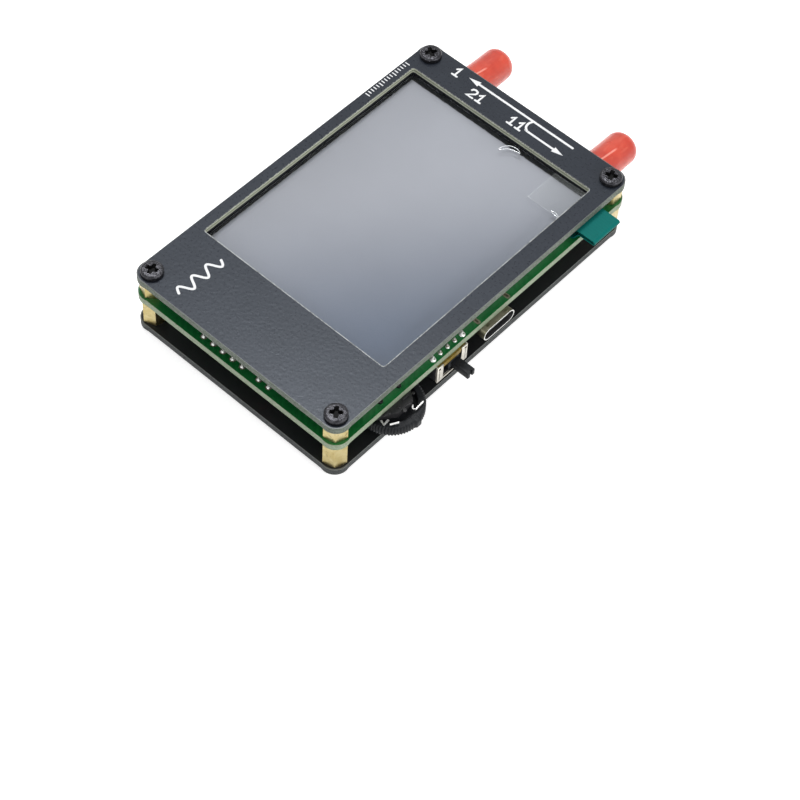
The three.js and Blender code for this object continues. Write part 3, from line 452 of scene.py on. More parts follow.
def clearPaint(name, tone, rough, depth, haze, shine, mirror, ends=0.0, rim=None, edges=0.0):
    paint = newPaint(name)  # open where one looks straight in, shiny at a slant
    smear = paint.noise(0.22, 4)
    ground = paint.ease(paint.facing(), 0.6, 0.3) * ends  # ground edges let nothing through
    slant = paint.node("LayerWeight", inputs={"Blend": 0.5}, output="Facing")
    share = haze * (0.6 + smear * 0.8) + (0.04 + slant ** 5 * 0.9) * shine
    share = share + paint.specks(0.6, 0.035) * 0.05 + ground
    if rim:
        x, y = paint.split()[:2]
        edge = paint.ease(paint.outline(x, y, rim["middle"], rim["half"], 0.6), -0.2, -0.04)
        share = share + edge * paint.ease(paint.noise(2.0, 3, 0.7), 0.35, 0.6) * edges
    sheen = paint.surface({"colour": paint.blend(ground, tone, (30, 36, 36)), "rough": rough, "metal": mirror,
                           "normal": paint.bump(smear, depth, 0.4)})
    opening = paint.node("BsdfTransparent", inputs={"Color": (1, 1, 1, 1)})
    paint.finish(paint.node("MixShader", inputs={0: share, 1: opening, 2: sheen}))


clears = {
    "touchGlass": {"tone": (236, 240, 246), "rough": 0.08, "depth": 0.001, "haze": 0.0, "shine": 0.5,
                   "mirror": 1.0, "ends": 1.0},
    "clearFilm": {"tone": (238, 241, 246), "rough": 0.1, "depth": 0.002, "haze": 0.004, "shine": 0.75,
                  "mirror": 0.9, "rim": film, "edges": 0.35},
    "clearTab": {"tone": (226, 232, 232), "rough": 0.2, "depth": 0.004, "haze": 0.05, "shine": 0.5,
                 "mirror": 0.3, "rim": tab, "edges": 0.2},
    # painted glints: a mostly hazy white finish for the tubes along the bubbles
    "filmEdge": {"tone": (240, 243, 246), "rough": 0.2, "depth": 0.02, "haze": 0.75, "shine": 1.0, "mirror": 0.3},
}
for name, values in clears.items():
    clearPaint(name, **values)

carried = {  # CAD nodes that keep their shape, by what they are made of
    "frontPanelMask": ["front_panel"], "backPanelMask": ["back_panel"], "greenBoard": ["main_board"],
    "blackFoam": ["display_foam"], "trayPlastic": ["display_tray"], "displayGlass": ["display_cell"],
    "touchGlass": ["touch_glass"], "blackPlastic": ["jog_base", "jog_carriage", "usb_tongue"],
    "amberLaminate": ["power_switch_base"], "foamTape": ["battery_tape"], "sheetSteel": ["shield_can"],
    "tinSolder": ["reference_oscillator"], "lampLens": ["status_led", "charge_led"],
    "whitePlastic": ["display_light_guide", "port_insulator_1", "port_insulator_2"],
    "goldPlate": ["port_contact_1", "port_contact_2"],
    "brassHex": [f"{level}_standoff_{number}" for level in ("upper", "lower") for number in (1, 2, 3, 4)],
}
for finish, names in carried.items():
    for name in names:
        for place in nodes[name].material_slots:
            place.material = paints[finish]
print("materials made:", len(paints))


# shapes

def addPiece(name, shape, finishes, body="chassis", stands=(), smooth=30):
    data = bpy.data.meshes.new(name)
    bmesh.ops.recalc_face_normals(shape, faces=shape.faces)
    shape.to_mesh(data)
    shape.free()
    data.transform(Matrix.Scale(mm, 4))
    for finish in finishes:
        data.materials.append(paints[finish])
    for face in data.polygons:
        face.use_smooth = True
    data.set_sharp_from_angle(angle=radians(smooth))
    piece = addObject(name, data)
    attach(piece, body)
    if stands:
        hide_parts(*stands)


def skin(shape, rings, finish=0, spot=still, ends=True, loop=False):  # rings of points, each joined to the next
    rings = [[shape.verts.new(spot @ Vector(point)) for point in ring] for ring in rings]
    finishes = finish if isinstance(finish, list) else [finish] * len(rings)
    for low, high, tone in zip(rings, rings[1:] + rings[:1] if loop else rings[1:], finishes):
        count = max(len(low), len(high))
        for side in range(count):
            after = (side + 1) % count
            edges = ((low, side), (low, after), (high, after), (high, side))
            points = dict.fromkeys(ring[index % len(ring)] for ring, index in edges)  # triangles at a point
            shape.faces.new(list(points)).material_index = tone
    if ends and not loop:
        shape.faces.new(rings[0][::-1]).material_index = finishes[0]
        shape.faces.new(rings[-1]).material_index = finishes[-1]


def at(x, y, z=0, turn=0):  # a place, turned about the upright
    return Matrix.Translation((x, y, z)) @ Matrix.Rotation(radians(turn), 4, "Z")


def arc(x, y, radius, start, sweep, steps):
    angles = [radians(start + sweep * step / steps) for step in range(steps + 1)]
    return [(x + radius * cos(angle), y + radius * sin(angle)) for angle in angles]


def circle(height, radii):  # points round Z, one for each radius
    step = 2 * pi / len(radii)
    return [(radius * cos(step * side), radius * sin(step * side), height)
            for side, radius in enumerate(radii)]


def turned(shape, profile, sides=48, spot=still):  # a profile of (radius, height) about Z
    rings = [circle(height, [radius] * (sides if radius else 1)) for radius, height in profile]
    skin(shape, rings, 0, spot, ends=False)


def block(shape, first, last, round_=0.0, steps=2, spot=still, finish=0):  # between two opposite corners
    spans = [sorted(pair) for pair in zip(first, last)]
    corners = [shape.verts.new(spot @ Vector((x, y, z))) for z in spans[2] for y in spans[1] for x in spans[0]]
    faces = []
    for a, b, c, d in ((0, 2, 3, 1), (4, 5, 7, 6), (0, 1, 5, 4), (2, 6, 7, 3), (0, 4, 6, 2), (1, 3, 7, 5)):
        faces.append(shape.faces.new([corners[i] for i in (a, b, c, d)]))
        faces[-1].material_index = finish
    if round_:
        edges = list({edge for face in faces for edge in face.edges})
        bmesh.ops.bevel(shape, geom=edges, offset=round_, segments=steps, affect="EDGES", profile=0.5)


def slab(shape, outline, floor, top):
    skin(shape, [[(x, y, z) for x, y in outline] for z in (floor, top)])


def curvePoints(points, steps):  # a smooth line through the points
    line = []
    for index in range(len(points) - 1):
        a, b, c, d = (Vector(points[max(0, min(len(points) - 1, index + shift))]) for shift in (-1, 0, 1, 2))
        for step in range(steps):
            t = step / steps
            line.append(0.5 * ((2 * b) + (c - a) * t + (2 * a - 5 * b + 4 * c - d) * t * t
                               + (3 * b - a - 3 * c + d) * t ** 3))
    line.append(Vector(points[-1]))
    return line


def heading(line, index):
    return (line[min(index + 1, len(line) - 1)] - line[max(index - 1, 0)]).normalized()


def tube(shape, line, radius, sides=20, finish=0):
    rings = []
    for index, point in enumerate(line):
        way = heading(line, index)
        guide = Vector((0, 0, 1)) if abs(way.z) < 0.5 else Vector((1, 0, 0))
        across = way.cross(guide).normalized()
        up = way.cross(across)
        rings.append([point + x * across + y * up for x, y, z in circle(0, [radius] * sides)])
    skin(shape, rings, finish)


def bentStrip(shape, path, width, thick, spot=still, finish=0):  # sheet along (along, up) points
    path = [Vector(point) for point in path]
    rings = []
    for index, point in enumerate(path):
        way = heading(path, index)
        side = Vector((-way.y, way.x)) * thick / 2
        upper, lower = point + side, point - side
        half = width / 2
        rings.append([(upper.x, -half, upper.y), (upper.x, half, upper.y), (lower.x, half, lower.y),
                      (lower.x, -half, lower.y)])
    skin(shape, rings, finish, spot)


def roundedOutline(low, high, corner):  # points of a rectangle with round corners
    right, far, left, near = high[0] - corner, high[1] - corner, low[0] + corner, low[1] + corner
    spots = ((right, far, 0), (left, far, 90), (left, near, 180), (right, near, 270))
    return [point for x, y, start in spots for point in arc(x, y, corner, start, 90, 5)]


def carve(target, cutter):  # cuts one bmesh out of another and gives back a new one
    pieces = []
    for shape in (target, cutter):
        bmesh.ops.recalc_face_normals(shape, faces=shape.faces)
        data = bpy.data.meshes.new("scratch")
        shape.to_mesh(data)
        shape.free()
        pieces.append(addObject("scratch", data))
    cut = pieces[0].modifiers.new("cut", "BOOLEAN")
    cut.operation, cut.object, cut.solver = "DIFFERENCE", pieces[1], "EXACT"
    bpy.context.view_layer.update()
    graph = bpy.context.evaluated_depsgraph_get()
    made = bmesh.new()
    made.from_mesh(pieces[0].evaluated_get(graph).to_mesh())
    for piece in pieces:
        bpy.data.objects.remove(piece)
    return made


# screws

corners = [(23.85, -39.55), (23.85, 39.55), (-23.85, 39.55), (-23.85, -39.55)]

screw = {
    "head": 2.3, "height": 1.15, "crown": 0.5, "shank": 1.2, "length": 4.3,
    "arm": 1.3, "armWidth": 0.4, "armFloor": 0.85, "floorWidth": 0.28, "depth": 0.85, "heart": 1.3, "over": 0.4,
    "top": (panelFace, 0, (39, 24, 57, 18)), "bottom": (0.0, pi, (12, 66, 31, 80)),  # height, tilt, turns
}


def makeScrew():
    shape = bmesh.new()
    head, shank, height, length = screw["head"], screw["shank"], screw["height"], screw["length"]
    profile = [(0, -length), (shank - 0.25, -length), (shank, 0.25 - length), (shank, 0.02), (head - 0.1, 0.02),
               (head - 0.02, 0.06), (head, 0.14)]
    for x, z in arc(-1, -1, 1, 0, 90, 8):
        profile.append((head + 0.55 * x, height - 0.03 + screw["crown"] * z))
    turned(shape, profile + [(1.6, height - 0.01), (1.2, height), (0.6, height), (0, height)], 64)
    cutter = bmesh.new()  # the cross recess, drawn on past the crown
    slope = 1 + screw["over"] / screw["depth"]
    reach = screw["armFloor"] + (screw["arm"] - screw["armFloor"]) * slope
    wide = screw["floorWidth"] + (screw["armWidth"] - screw["floorWidth"]) * slope
    rings = []
    for r, w, z in ((screw["armFloor"], screw["floorWidth"], height - screw["depth"]),
                    (reach, wide, height + screw["over"])):
        h = w * screw["heart"]
        rings.append([(x, y, z) for x, y in ((r, w), (h, h), (w, r), (-w, r), (-h, h), (-r, w), (-r, -w), (-h, -h),
                                             (-w, -r), (w, -r), (h, -h), (r, -w))])
    skin(cutter, rings)
    shape = carve(shape, cutter)
    # the recess's walls and floor take the near-black finish: painted shade
    for face in shape.faces:
        spot = face.calc_center_median()
        if height - screw["depth"] - 0.01 < spot.z < height - 0.04 and spot.xy.length < 1.5:
            face.material_index = 1
    return shape


def addScrews():
    master = makeScrew()
    for number, (x, y) in enumerate(corners, 1):
        for kind in ("top", "bottom"):
            height, tilt, turns = screw[kind]
            shape = master.copy()
            spot = at(x, y, height) @ Matrix.Rotation(tilt, 4, "X") @ at(0, 0, 0, turns[number - 1])
            bmesh.ops.transform(shape, matrix=spot, verts=shape.verts)
            addPiece(f"{kind}Screw{number}", shape, ["blackSteel", "oiledRecess"],
                     stands=[f"{kind}_screw_{number}"], smooth=32)
    master.free()


addScrews()
print("screws made")


# coax ports and their caps

port = {"y": 42.0, "flange": 3.1, "thick": 0.9, "end": 51.7, "crest": 3.1, "root": 2.8, "bore": 2.15,
        "pitch": 0.7056, "legBack": 4.5, "leg": 1.0}
cap = {"mouth": 43.0, "end": 53.2, "bore": 3.2, "floor": 52.0, "base": 3.8, "shoulder": 3.58, "round": 2.3}


def alongY(x, y):  # turned shapes that stand on the far edge
    return at(x, y, portZ) @ Matrix.Rotation(-pi / 2, 4, "X")


def addPorts():
    sides = 48
    length, root, thick, bore = port["end"] - port["y"], port["root"], port["thick"], port["bore"]
    start, stop, rise = thick + 0.45, length - 0.35, port["pitch"] / 8
    heights = [start + rise * step for step in range(ceil((stop - start) / rise))]
    rings = []
    for height in [thick - 0.1, thick + 0.2] + heights + [stop, length - 0.12]:
        crest = (port["crest"] - root) * max(0.0, min(1.0, (height - start) / 0.5, (stop - height) / 0.5))
        phases = [(height / port["pitch"] - side / sides) % 1.0 for side in range(sides)]
        waves = [min(1.0, 1.35 * (1 - abs(2 * phase - 1))) for phase in phases]
        rings.append(circle(height, [root + crest * wave for wave in waves]))
    for radius, height in ((root - 0.12, length), (bore + 0.1, length), (bore, length - 0.1), (bore, 0.0),
                           (root, 0.0)):
        rings.append(circle(height, [radius] * sides))
    for number, (x, body) in enumerate(ports, 1):
        spot = alongY(x, port["y"])
        barrel = bmesh.new()
        skin(barrel, rings, 0, spot, loop=True)
        hole = bmesh.new()
        turned(hole, [(0, -1), (root - 0.05, -1), (root - 0.05, 4), (0, 4)], sides, spot)
        flange = bmesh.new()
        half, y = port["flange"], port["y"]
        block(flange, (x - half, y, portZ - half), (x + half, y + thick, portZ + half), 0.16, 3)
        flange = carve(flange, hole)
        for side in (-1, 1):
            for z in (board["high"], board["low"] - port["leg"]):
                block(flange, (x + side * (half - port["leg"]), y - port["legBack"], z),
                      (x + side * half, y + 0.1, z + port["leg"]), 0.12)
        addPiece(f"portBarrel{number}", barrel, ["goldPlate"], stands=[f"port_body_{number}"],
                 smooth=28)
        addPiece(f"portFlange{number}", flange, ["goldPlate"])


def addCaps():
    length, depth = cap["end"] - cap["mouth"], cap["floor"] - cap["mouth"]
    bore, base, shoulder, bend = cap["bore"], cap["base"], cap["shoulder"], cap["round"]
    profile = [(0, depth), (bore - 1.2, depth), (bore - 0.35, depth - 0.35), (bore, depth - 1.2), (bore, 0.2),
               (bore + 0.12, 0.04), (base - 0.18, 0.0), (base - 0.04, 0.06), (base, 0.22), (base - 0.02, 0.6),
               (base - 0.08, 1.4), (base - 0.14, 3.0), (shoulder + 0.03, 4.6), (shoulder + 0.01, 5.8)]
    profile += arc(shoulder - bend, length - 0.05 - bend, bend, 0, 90, 20)
    profile += [(0.8, length - 0.01), (0.4, length), (0, length)]
    for number, (x, body) in enumerate(ports, 1):
        shape = bmesh.new()
        turned(shape, profile, 72, alongY(x, cap["mouth"]))
        addPiece(f"dustCap{number}", shape, ["redVinyl"], body, [f"dust_cap_{number}"], 50)


addPorts()
addCaps()
print("ports and caps made")


# screen film, a little bubbled and lifted at one corner

swells = [(3.9, 32.2, 2.6, 0.12), (21.0, 25.9, 1.8, 0.1)]  # x, y, reach, height


def filmLift(x, y):  # height over the glass, in millimetres
    right, far = x - (film["middle"][0] + film["half"][0]), y - (film["middle"][1] + film["half"][1])
    lift = 0.3 * max(0.0, 1 + (right + far) / 7.0) ** 2
    for cx, cy, reach, height in swells:
        away = hypot(x - cx, (y - cy) * 1.5) / reach
        lift += height * exp(-away * away * 2)
    return lift


def clearSheet(area, columns, rows, lift):  # open underneath, so that light meets one face only
    shape = bmesh.new()
    bmesh.ops.create_grid(shape, x_segments=columns, y_segments=rows, size=1)
    for corner in shape.verts:
        x, y = [middle + half * share for middle, half, share in zip(area["middle"], area["half"], corner.co)]
        corner.co = (x, y, lift(x, y) + area["thick"])
    skirt = bmesh.ops.extrude_edge_only(shape, edges=[edge for edge in shape.edges if edge.is_boundary])
    for part in skirt["geom"]:
        if isinstance(part, bmesh.types.BMVert):
            part.co.z -= area["thick"]
    return shape


def addFilm():
    shape = clearSheet(film, 92, 118, lambda x, y: film["floor"] + 0.005 + filmLift(x, y))
    addPiece("screenFilm", shape, ["clearFilm"], stands=["screen_film"])


bubbles = [  # edges of trapped air, as closed lines of (x, y), drawn as hazy white tubes that are painted glints
    [(1.9, 31.3), (2.2, 32.3), (3.0, 33.3), (4.2, 33.75), (5.3, 33.6), (5.8, 33.2), (5.2, 33.1), (4.1, 32.85),
     (3.2, 32.3), (2.6, 31.6), (2.2, 31.2)],
    [(20.0, 26.0), (20.5, 26.3), (21.2, 26.2), (22.0, 25.8), (21.5, 25.7), (20.8, 25.8)],
]


def addTab():  # clear pull tab on the film, lifted where its corner has come free
    top = film["floor"] + film["thick"]

    def height(x, y):
        free = max(0.0, (x - 19.4) / 3) * max(0.0, (28.0 - y) / 2.3)
        return top + 0.02 + filmLift(x, y) + 0.3 * free ** 1.5
    addPiece("pullTab", clearSheet(tab, 24, 24, height), ["clearTab"], smooth=60)
    edges = bmesh.new()
    for points in bubbles:
        ring = [(x, y, top + 0.06 + filmLift(x, y)) for x, y in points]
        # hazy white tubes along the bubbles' edges: painted glints
        tube(edges, curvePoints(ring + ring[:1], 6), 0.085, 8)
    addPiece("bubbleGlints", edges, ["filmEdge"], smooth=60)


addFilm()
addTab()


# ribbon from the touch glass round to the board

ribbon = {"y": 30.0, "width": 7.8, "thick": 0.22, "upper": 12.955, "start": 22.8, "fold": 30.6, "radius": 0.45,
          "turnBack": 27.6, "landing": 25.38, "lower": 9.925, "tail": 18.5}


def addRibbon():
    start, fold, upper, radius = ribbon["start"], ribbon["fold"], ribbon["upper"], ribbon["radius"]
    line = [(start + (fold - start) * step / 12, upper) for step in range(12)]
    line += arc(fold, upper - radius, radius, 90, -180, 16)
    level, lower = upper - 2 * radius, ribbon["lower"]
    middle = (ribbon["turnBack"] + ribbon["landing"]) / 2
    for step in range(25):
        t = step / 24
        a, b, c, d = (1 - t) ** 3, 3 * (1 - t) ** 2 * t, 3 * (1 - t) * t * t, t ** 3
        x = a * ribbon["turnBack"] + (b + c) * middle + d * ribbon["landing"]
        line.append((x, (a + b) * level + (c + d) * lower))
    line.append((ribbon["tail"], lower))
    shape = bmesh.new()
    bentStrip(shape, line, ribbon["width"], ribbon["thick"], at(0, ribbon["y"]))
    addPiece("displayRibbon", shape, ["tealRibbon"], stands=["display_ribbon"])


addRibbon()
print("display dressed")


# charging socket

socket = {"y": 2.05, "back": 20.7, "front": 28.0, "middle": 6.6, "width": 8.94, "height": 3.2,
          "legs": (25.7, 21.5), "legOut": 4.32, "dimples": (-2.6, 2.6), "contacts": 12, "pitch": 0.5,
          "contactOut": 0.355}


def stadium(width, height):  # points in (y, z) of a slot with round ends
    reach = (width - height) / 2
    return arc(reach, 0, height / 2, 90, -180, 14) + arc(-reach, 0, height / 2, -90, -180, 14)


def addSocket():
    shape = bmesh.new()
    front, back, middle = socket["front"], socket["back"], socket["middle"]
    rings = []
    for inset, x in ((0.04, back), (0.0, back + 0.05), (0.0, front - 0.14), (0.04, front - 0.04), (0.12, front),
                     (0.2, front), (0.27, front - 0.04), (0.3, front - 0.12), (0.3, back + 0.5)):
        outline = stadium(socket["width"] - 2 * inset, socket["height"] - 2 * inset)
        rings.append([(x, socket["y"] + y, middle + z) for y, z in outline])
    # the front lip takes the bright finish, a painted highlight, and the inner faces the black finish, painted
    # shade
    skin(shape, rings, [0, 0, 0, 2, 2, 2, 1, 1])
    for x in socket["legs"]:
        for side in (-1, 1):
            y = socket["y"] + side * socket["legOut"]
            block(shape, (x - 0.45, y - 0.15, 6.8), (x + 0.45, y + 0.15, 10.0), 0.05)
    for y in socket["dimples"]:  # springs pressed into the top of the shell
        turned(shape, [(0.42, 8.2), (0.36, 8.24), (0.2, 8.26), (0, 8.262)], 20, at(27.25, socket["y"] + y))
    addPiece("socketShell", shape, ["dullNickel", "blackPlastic", "brightSolder"],
             stands=["usb_shell"])
    strips = bmesh.new()
    for z in (middle - socket["contactOut"], middle + socket["contactOut"]):
        for count in range(socket["contacts"]):
            y = socket["y"] + (count - (socket["contacts"] - 1) / 2) * socket["pitch"]
            block(strips, (23.6, y - 0.12, z - 0.02), (27.2, y + 0.12, z + 0.02), 0.015, 1)
    addPiece("socketContacts", strips, ["goldPlate"], smooth=35)


addSocket()


# power switch

switch = {"low": (22.6, -15.0, 3.7), "high": (27.25, -6.4, 8.2), "sheet": 0.3, "cheek": 1.7, "hole": 0.62}


def addSwitch():
    shape = bmesh.new()
    back, y0, low = switch["low"]
    front, y1, top = switch["high"]
    sheet, cheek = switch["sheet"], switch["cheek"]
    block(shape, (back, y0, low), (front - sheet, y1, low + sheet), 0.08, finish=1)
    block(shape, (front - sheet, y0 + cheek, low), (front, y1 - cheek, low + sheet), 0.08)
    block(shape, (back, y0, low), (back + sheet, y1, top), 0.08, finish=1)
    for side, edge in ((1, y0), (-1, y1)):
        block(shape, (back, edge, low), (front - sheet, edge + side * sheet, top), 0.08, finish=1)
        leg = edge + side * 0.15
        block(shape, (25.25, leg - 0.15, 8.0), (26.15, leg + 0.15, 10.3), 0.04)
        block(shape, (26.2, leg - 0.12, 8.0), (27.1, leg + 0.12, 8.34), 0.05)
    addPiece("switchFrame", shape, ["sheetSteel", "blackPlastic"], stands=["power_switch_frame"])
    for number, (side, edge) in enumerate(((1, y0), (-1, y1)), 1):
        shape, cut = bmesh.new(), bmesh.new()
        block(shape, (front - sheet, edge, low), (front + 0.02, edge + side * cheek, top), 0.1, 3)
        hole = edge + side * switch["hole"]
        block(cut, (front - 1, hole - 0.26, top - 1.0), (front + 1, hole + 0.26, top - 0.4), 0.1)
        block(cut, (front - 1, hole - 0.07, low + 0.5), (front + 1, hole + 0.07, top - 1.25))
        addPiece(f"switchCheek{number}", carve(shape, cut), ["sheetSteel"])
    handle, groove = bmesh.new(), bmesh.new()
    block(handle, (26.6, -10.5, 4.2), (31.1, -8.5, 5.8), 0.14, 3)
    block(groove, (30.65, -9.85, 3.0), (32.0, -9.15, 7.0))
    slider = carve(handle, groove)
    block(slider, (23.0, -11.3, 4.1), (26.85, -7.7, 7.1), 0.08)
    addPiece("switchSlider", slider, ["charcoalPlastic"], "switch_slider",
             ["power_switch_slider"])


addSwitch()


# jog wheel and the parts round it

wheel = {"x": 24.8, "y": -25.35, "low": 4.0, "high": 6.3, "outer": 6.65, "root": 6.44, "teeth": 68, "rim": 5.0,
         "webLow": 4.4, "webHigh": 5.4, "hub": 2.4, "hubLow": 3.75, "hubHigh": 6.5, "bore": 1.3, "nub": 6.98}


def addWheel():
    x, y, low, high, rim, hub = (wheel[key] for key in ("x", "y", "low", "high", "rim", "hub"))
    webLow, webHigh, hubLow, hubHigh = (wheel[key] for key in ("webLow", "webHigh", "hubLow", "hubHigh"))
    root, crest = wheel["root"], wheel["outer"] - wheel["root"]
    tooth = [root + crest * min(1, 1.35 * (0.5 - 0.5 * cos(pi * step / 3))) for step in range(6)]
    rings = []
    for height, pull in ((low, 0.32), (low + 0.12, 0.1), (low + 0.3, 0.0), (high - 0.3, 0.0), (high - 0.12, 0.1),
                         (high, 0.32)):
        rings.append(circle(height, [radius - pull for radius in tooth] * wheel["teeth"]))
    for radius, height in ((rim + 0.15, high), (rim, high - 0.15), (rim - 0.1, webHigh), (hub + 0.15, webHigh),
                           (hub, webHigh + 0.15), (hub, hubHigh - 0.12), (hub - 0.12, hubHigh),
                           (wheel["bore"], hubHigh), (wheel["bore"], hubLow), (hub - 0.12, hubLow),
                           (hub, hubLow + 0.12), (hub, webLow), (rim - 0.1, webLow), (rim, low + 0.15),
                           (rim + 0.15, low)):
        rings.append(circle(height, [radius] * len(rings[0])))
    shape = bmesh.new()
    skin(shape, rings, 0, at(x, y), loop=True)
    block(shape, (x + 5.2, y - 0.4, low + 0.3), (x + wheel["nub"], y + 1.1, high - 0.02), 0.3, 4)
    addPiece("jogWheel", shape, ["charcoalPlastic"], "jog_rotor", ["jog_wheel"], 32)


contacts = {  # bent springs seen from above, as a width and (x, y) points
    "left": [(0.4, [(26.9, -30.4), (27.9, -30.75), (27.8, -29.35)]),
             (0.26, [(28.65, -29.95), (28.95, -29.5), (29.58, -28.35)])],
    "right": [(0.24, [(28.75, -23.7), (29.3, -24.3), (29.85, -24.05), (29.62, -21.75)])],
}
contactSize = {"middle": 6.985, "height": 0.27}
bosses = [(29.0, -26.3, 0.42), (27.76, -26.47, 0.3), (27.34, -28.77, 0.34), (27.55, -22.3, 0.3)]  # x, y, radius


def addJogParts():
    upright = Matrix(((1, 0, 0, 0), (0, 0, 1, 0), (0, 1, 0, contactSize["middle"]), (0, 0, 0, 1)))
    for side, strips in contacts.items():
        shape = bmesh.new()
        for width, points in strips:
            bentStrip(shape, points, contactSize["height"], width, upright)
        edges = [edge for edge in shape.edges if edge.calc_face_angle(0) > 0.5]
        bmesh.ops.bevel(shape, geom=edges, offset=0.06, segments=2, affect="EDGES", profile=0.5)
        addPiece(f"{side}Contact", shape, ["brightSolder"], stands=[f"jog_contact_{side}"], smooth=40)
    shape = bmesh.new()
    for x, y, radius in bosses:
        turned(shape, [(radius, 8.19), (radius, 8.3), (radius - 0.06, 8.36), (radius - 0.12, 8.36),
                       (radius - 0.16, 8.3), (0, 8.3)], 24, at(x, y))
    for y0, y1 in ((-30.2, -28.9), (-24.9, -23.1)):
        block(shape, (27.0, y0, 8.15), (27.35, y1, 8.42), 0.08)
    addPiece("jogMoulding", shape, ["blackPlastic"], smooth=40)


addWheel()
addJogParts()
print("controls made")


# battery leads

leads = {
    "red": [(5.5, -36.7, 3.8), (5.4, -38.2, 3.8), (5.3, -39.5, 4.4), (5.4, -40.2, 5.8), (5.5, -40.95, 7.9)],
    "black": [(8, -36.7, 3.8), (8.1, -38.1, 3.8), (8.2, -39.4, 4.5), (8.1, -40.1, 5.9), (8, -40.95, 7.9)],
}


def addLeads():
    for colour, points in leads.items():
        shape = bmesh.new()
        route = curvePoints(points, 8)
        tube(shape, route[:-4], 0.6)
        tube(shape, route[-6:], 0.3, 12, 1)
        addPiece(f"{colour}Lead", shape, [f"{colour}Wire", "tinSolder"],
                 stands=[f"battery_lead_{colour}"], smooth=35)


addLeads()


# solder joints, pin tips and pads

pins = {"row": (-8.96, -6.42, -3.88, -1.34, 1.20, 5.47, 8.01), "rowY": -40.8, "switchX": 25.7,
        "switchLegs": (-14.85, -6.55), "switchPins": (-12.75, -10.7, -8.65)}


def solderBlob(shape, x, y, z, radius, height, up=1):
    profile = [(radius * (1 - step / 7) ** 1.6 + 0.18 * step / 7, height * step / 7) for step in range(8)]
    turned(shape, profile + [(0, height + 0.03)], 24, at(x, y, z) @ Matrix.Scale(up, 4, Vector((0, 0, 1))))


def addSolder():
    top, under, rowY, switchX = board["high"], board["low"], pins["rowY"], pins["switchX"]
    shape = bmesh.new()
    for x in pins["row"]:
        solderBlob(shape, x, rowY, top, 0.5, 0.42)
        block(shape, (x - 0.16, rowY - 0.16, 10.1), (x + 0.16, rowY + 0.16, 10.5), 0.05)
        solderBlob(shape, x, rowY, under, 0.6, 0.5, -1)
    for y in pins["switchLegs"]:
        solderBlob(shape, switchX, y, top, 0.66, 0.85)
        block(shape, (25.45, y - 0.16, 10.2), (25.9, y + 0.16, 10.8), 0.06)
    for y in pins["switchPins"]:
        solderBlob(shape, switchX, y, top, 0.46, 0.7)
    for x, body in ports:  # the ports' legs, soldered on both faces
        for side in (-2.6, 2.6):
            for z, up in ((top, 0.05), (under, -0.05)):
                block(shape, (x + side - 0.75, 37.4, z), (x + side + 0.75, 42.0, z + up), 0.02, 1)
        block(shape, (x - 0.5, 38.4, top), (x + 0.5, 41.6, top + 0.06), 0.02, 1)
    addPiece("solderJoints", shape, ["brightSolder"], smooth=40)
    lands = bmesh.new()
    for x in socket["legs"]:
        for y in (socket["y"] - socket["legOut"], socket["y"] + socket["legOut"]):
            slab(lands, roundedOutline((x - 0.85, y - 0.5), (x + 0.85, y + 0.5), 0.48), top - 0.01, top + 0.03)
            slab(lands, roundedOutline((x - 0.5, y - 0.2), (x + 0.5, y + 0.2), 0.18), top, top + 0.07)
    for x in pins["row"]:
        for radius, low, high in ((0.72, top - 0.01, top + 0.02), (0.8, under + 0.01, under - 0.02)):
            turned(lands, [(0, low), (radius, low), (radius, high), (0, high)], 28, at(x, rowY))
    addPiece("solderLands", lands, ["darkPad"], smooth=40)


addSolder()
print("leads and solder made")


# chips and small parts under the board

packages = [  # name, how far the leads stand out in x and y, sides with leads, leads a side, pitch, width
    ("processor", (1.0, 1.0), (0, 90, 180, 270), 12, 0.5, 0.24),
    *[(f"mixer_{number}", (1.0, 0.0), (0, 180), 4, 1.15, 0.42) for number in (1, 2, 3)],
    ("clock_generator", (1.0, 0.0), (0, 180), 5, 0.5, 0.24),
    ("charge_regulator", (0.8, 0.0), (0, 180), 3, 0.95, 0.4),
    ("audio_codec", (0.05, 0.05), (0, 90, 180, 270), 8, 0.5, 0.26),
]
seat = 8.12  # height of a package's top and of its leads' feet


def addPackage(name, insets, sides, count, pitch, wide):
    low, high = [Vector(corner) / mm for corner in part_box(name)]
    middle = (low + high) / 2
    shape = bmesh.new()
    left, far = low.x + insets[0], high.y - insets[1]
    block(shape, (left, low.y + insets[1], low.z), (high.x - insets[0], far, seat), 0.1)
    turned(shape, [(0.28, 0.0), (0.24, -0.015), (0, -0.015)], 20, at(left + 0.6, far - 0.6, low.z))
    for side in sides:
        way = side // 90 % 2
        reach, inset = (high[way] - low[way]) / 2, insets[way]
        start, mid = reach - inset, (low.z + seat) / 2
        path = [(start - 0.4, seat + 0.02), (reach, seat + 0.02)]
        if inset > 0.2:
            path = [(start - 0.1, mid), (start + inset * 0.3, mid), (start + inset * 0.45, mid + 0.1),
                    (start + inset * 0.5, seat - 0.1), (start + inset * 0.62, seat), (reach, seat)]
        for pin in range(count):
            spot = at(middle.x, middle.y, 0, side) @ at(0, (pin - (count - 1) / 2) * pitch)
            bentStrip(shape, path, wide, 0.12, spot, 1)
    addPiece(f"{name}Package", shape, ["chipResin", "tinSolder"], stands=[name])


for package in packages:
    addPackage(*package)

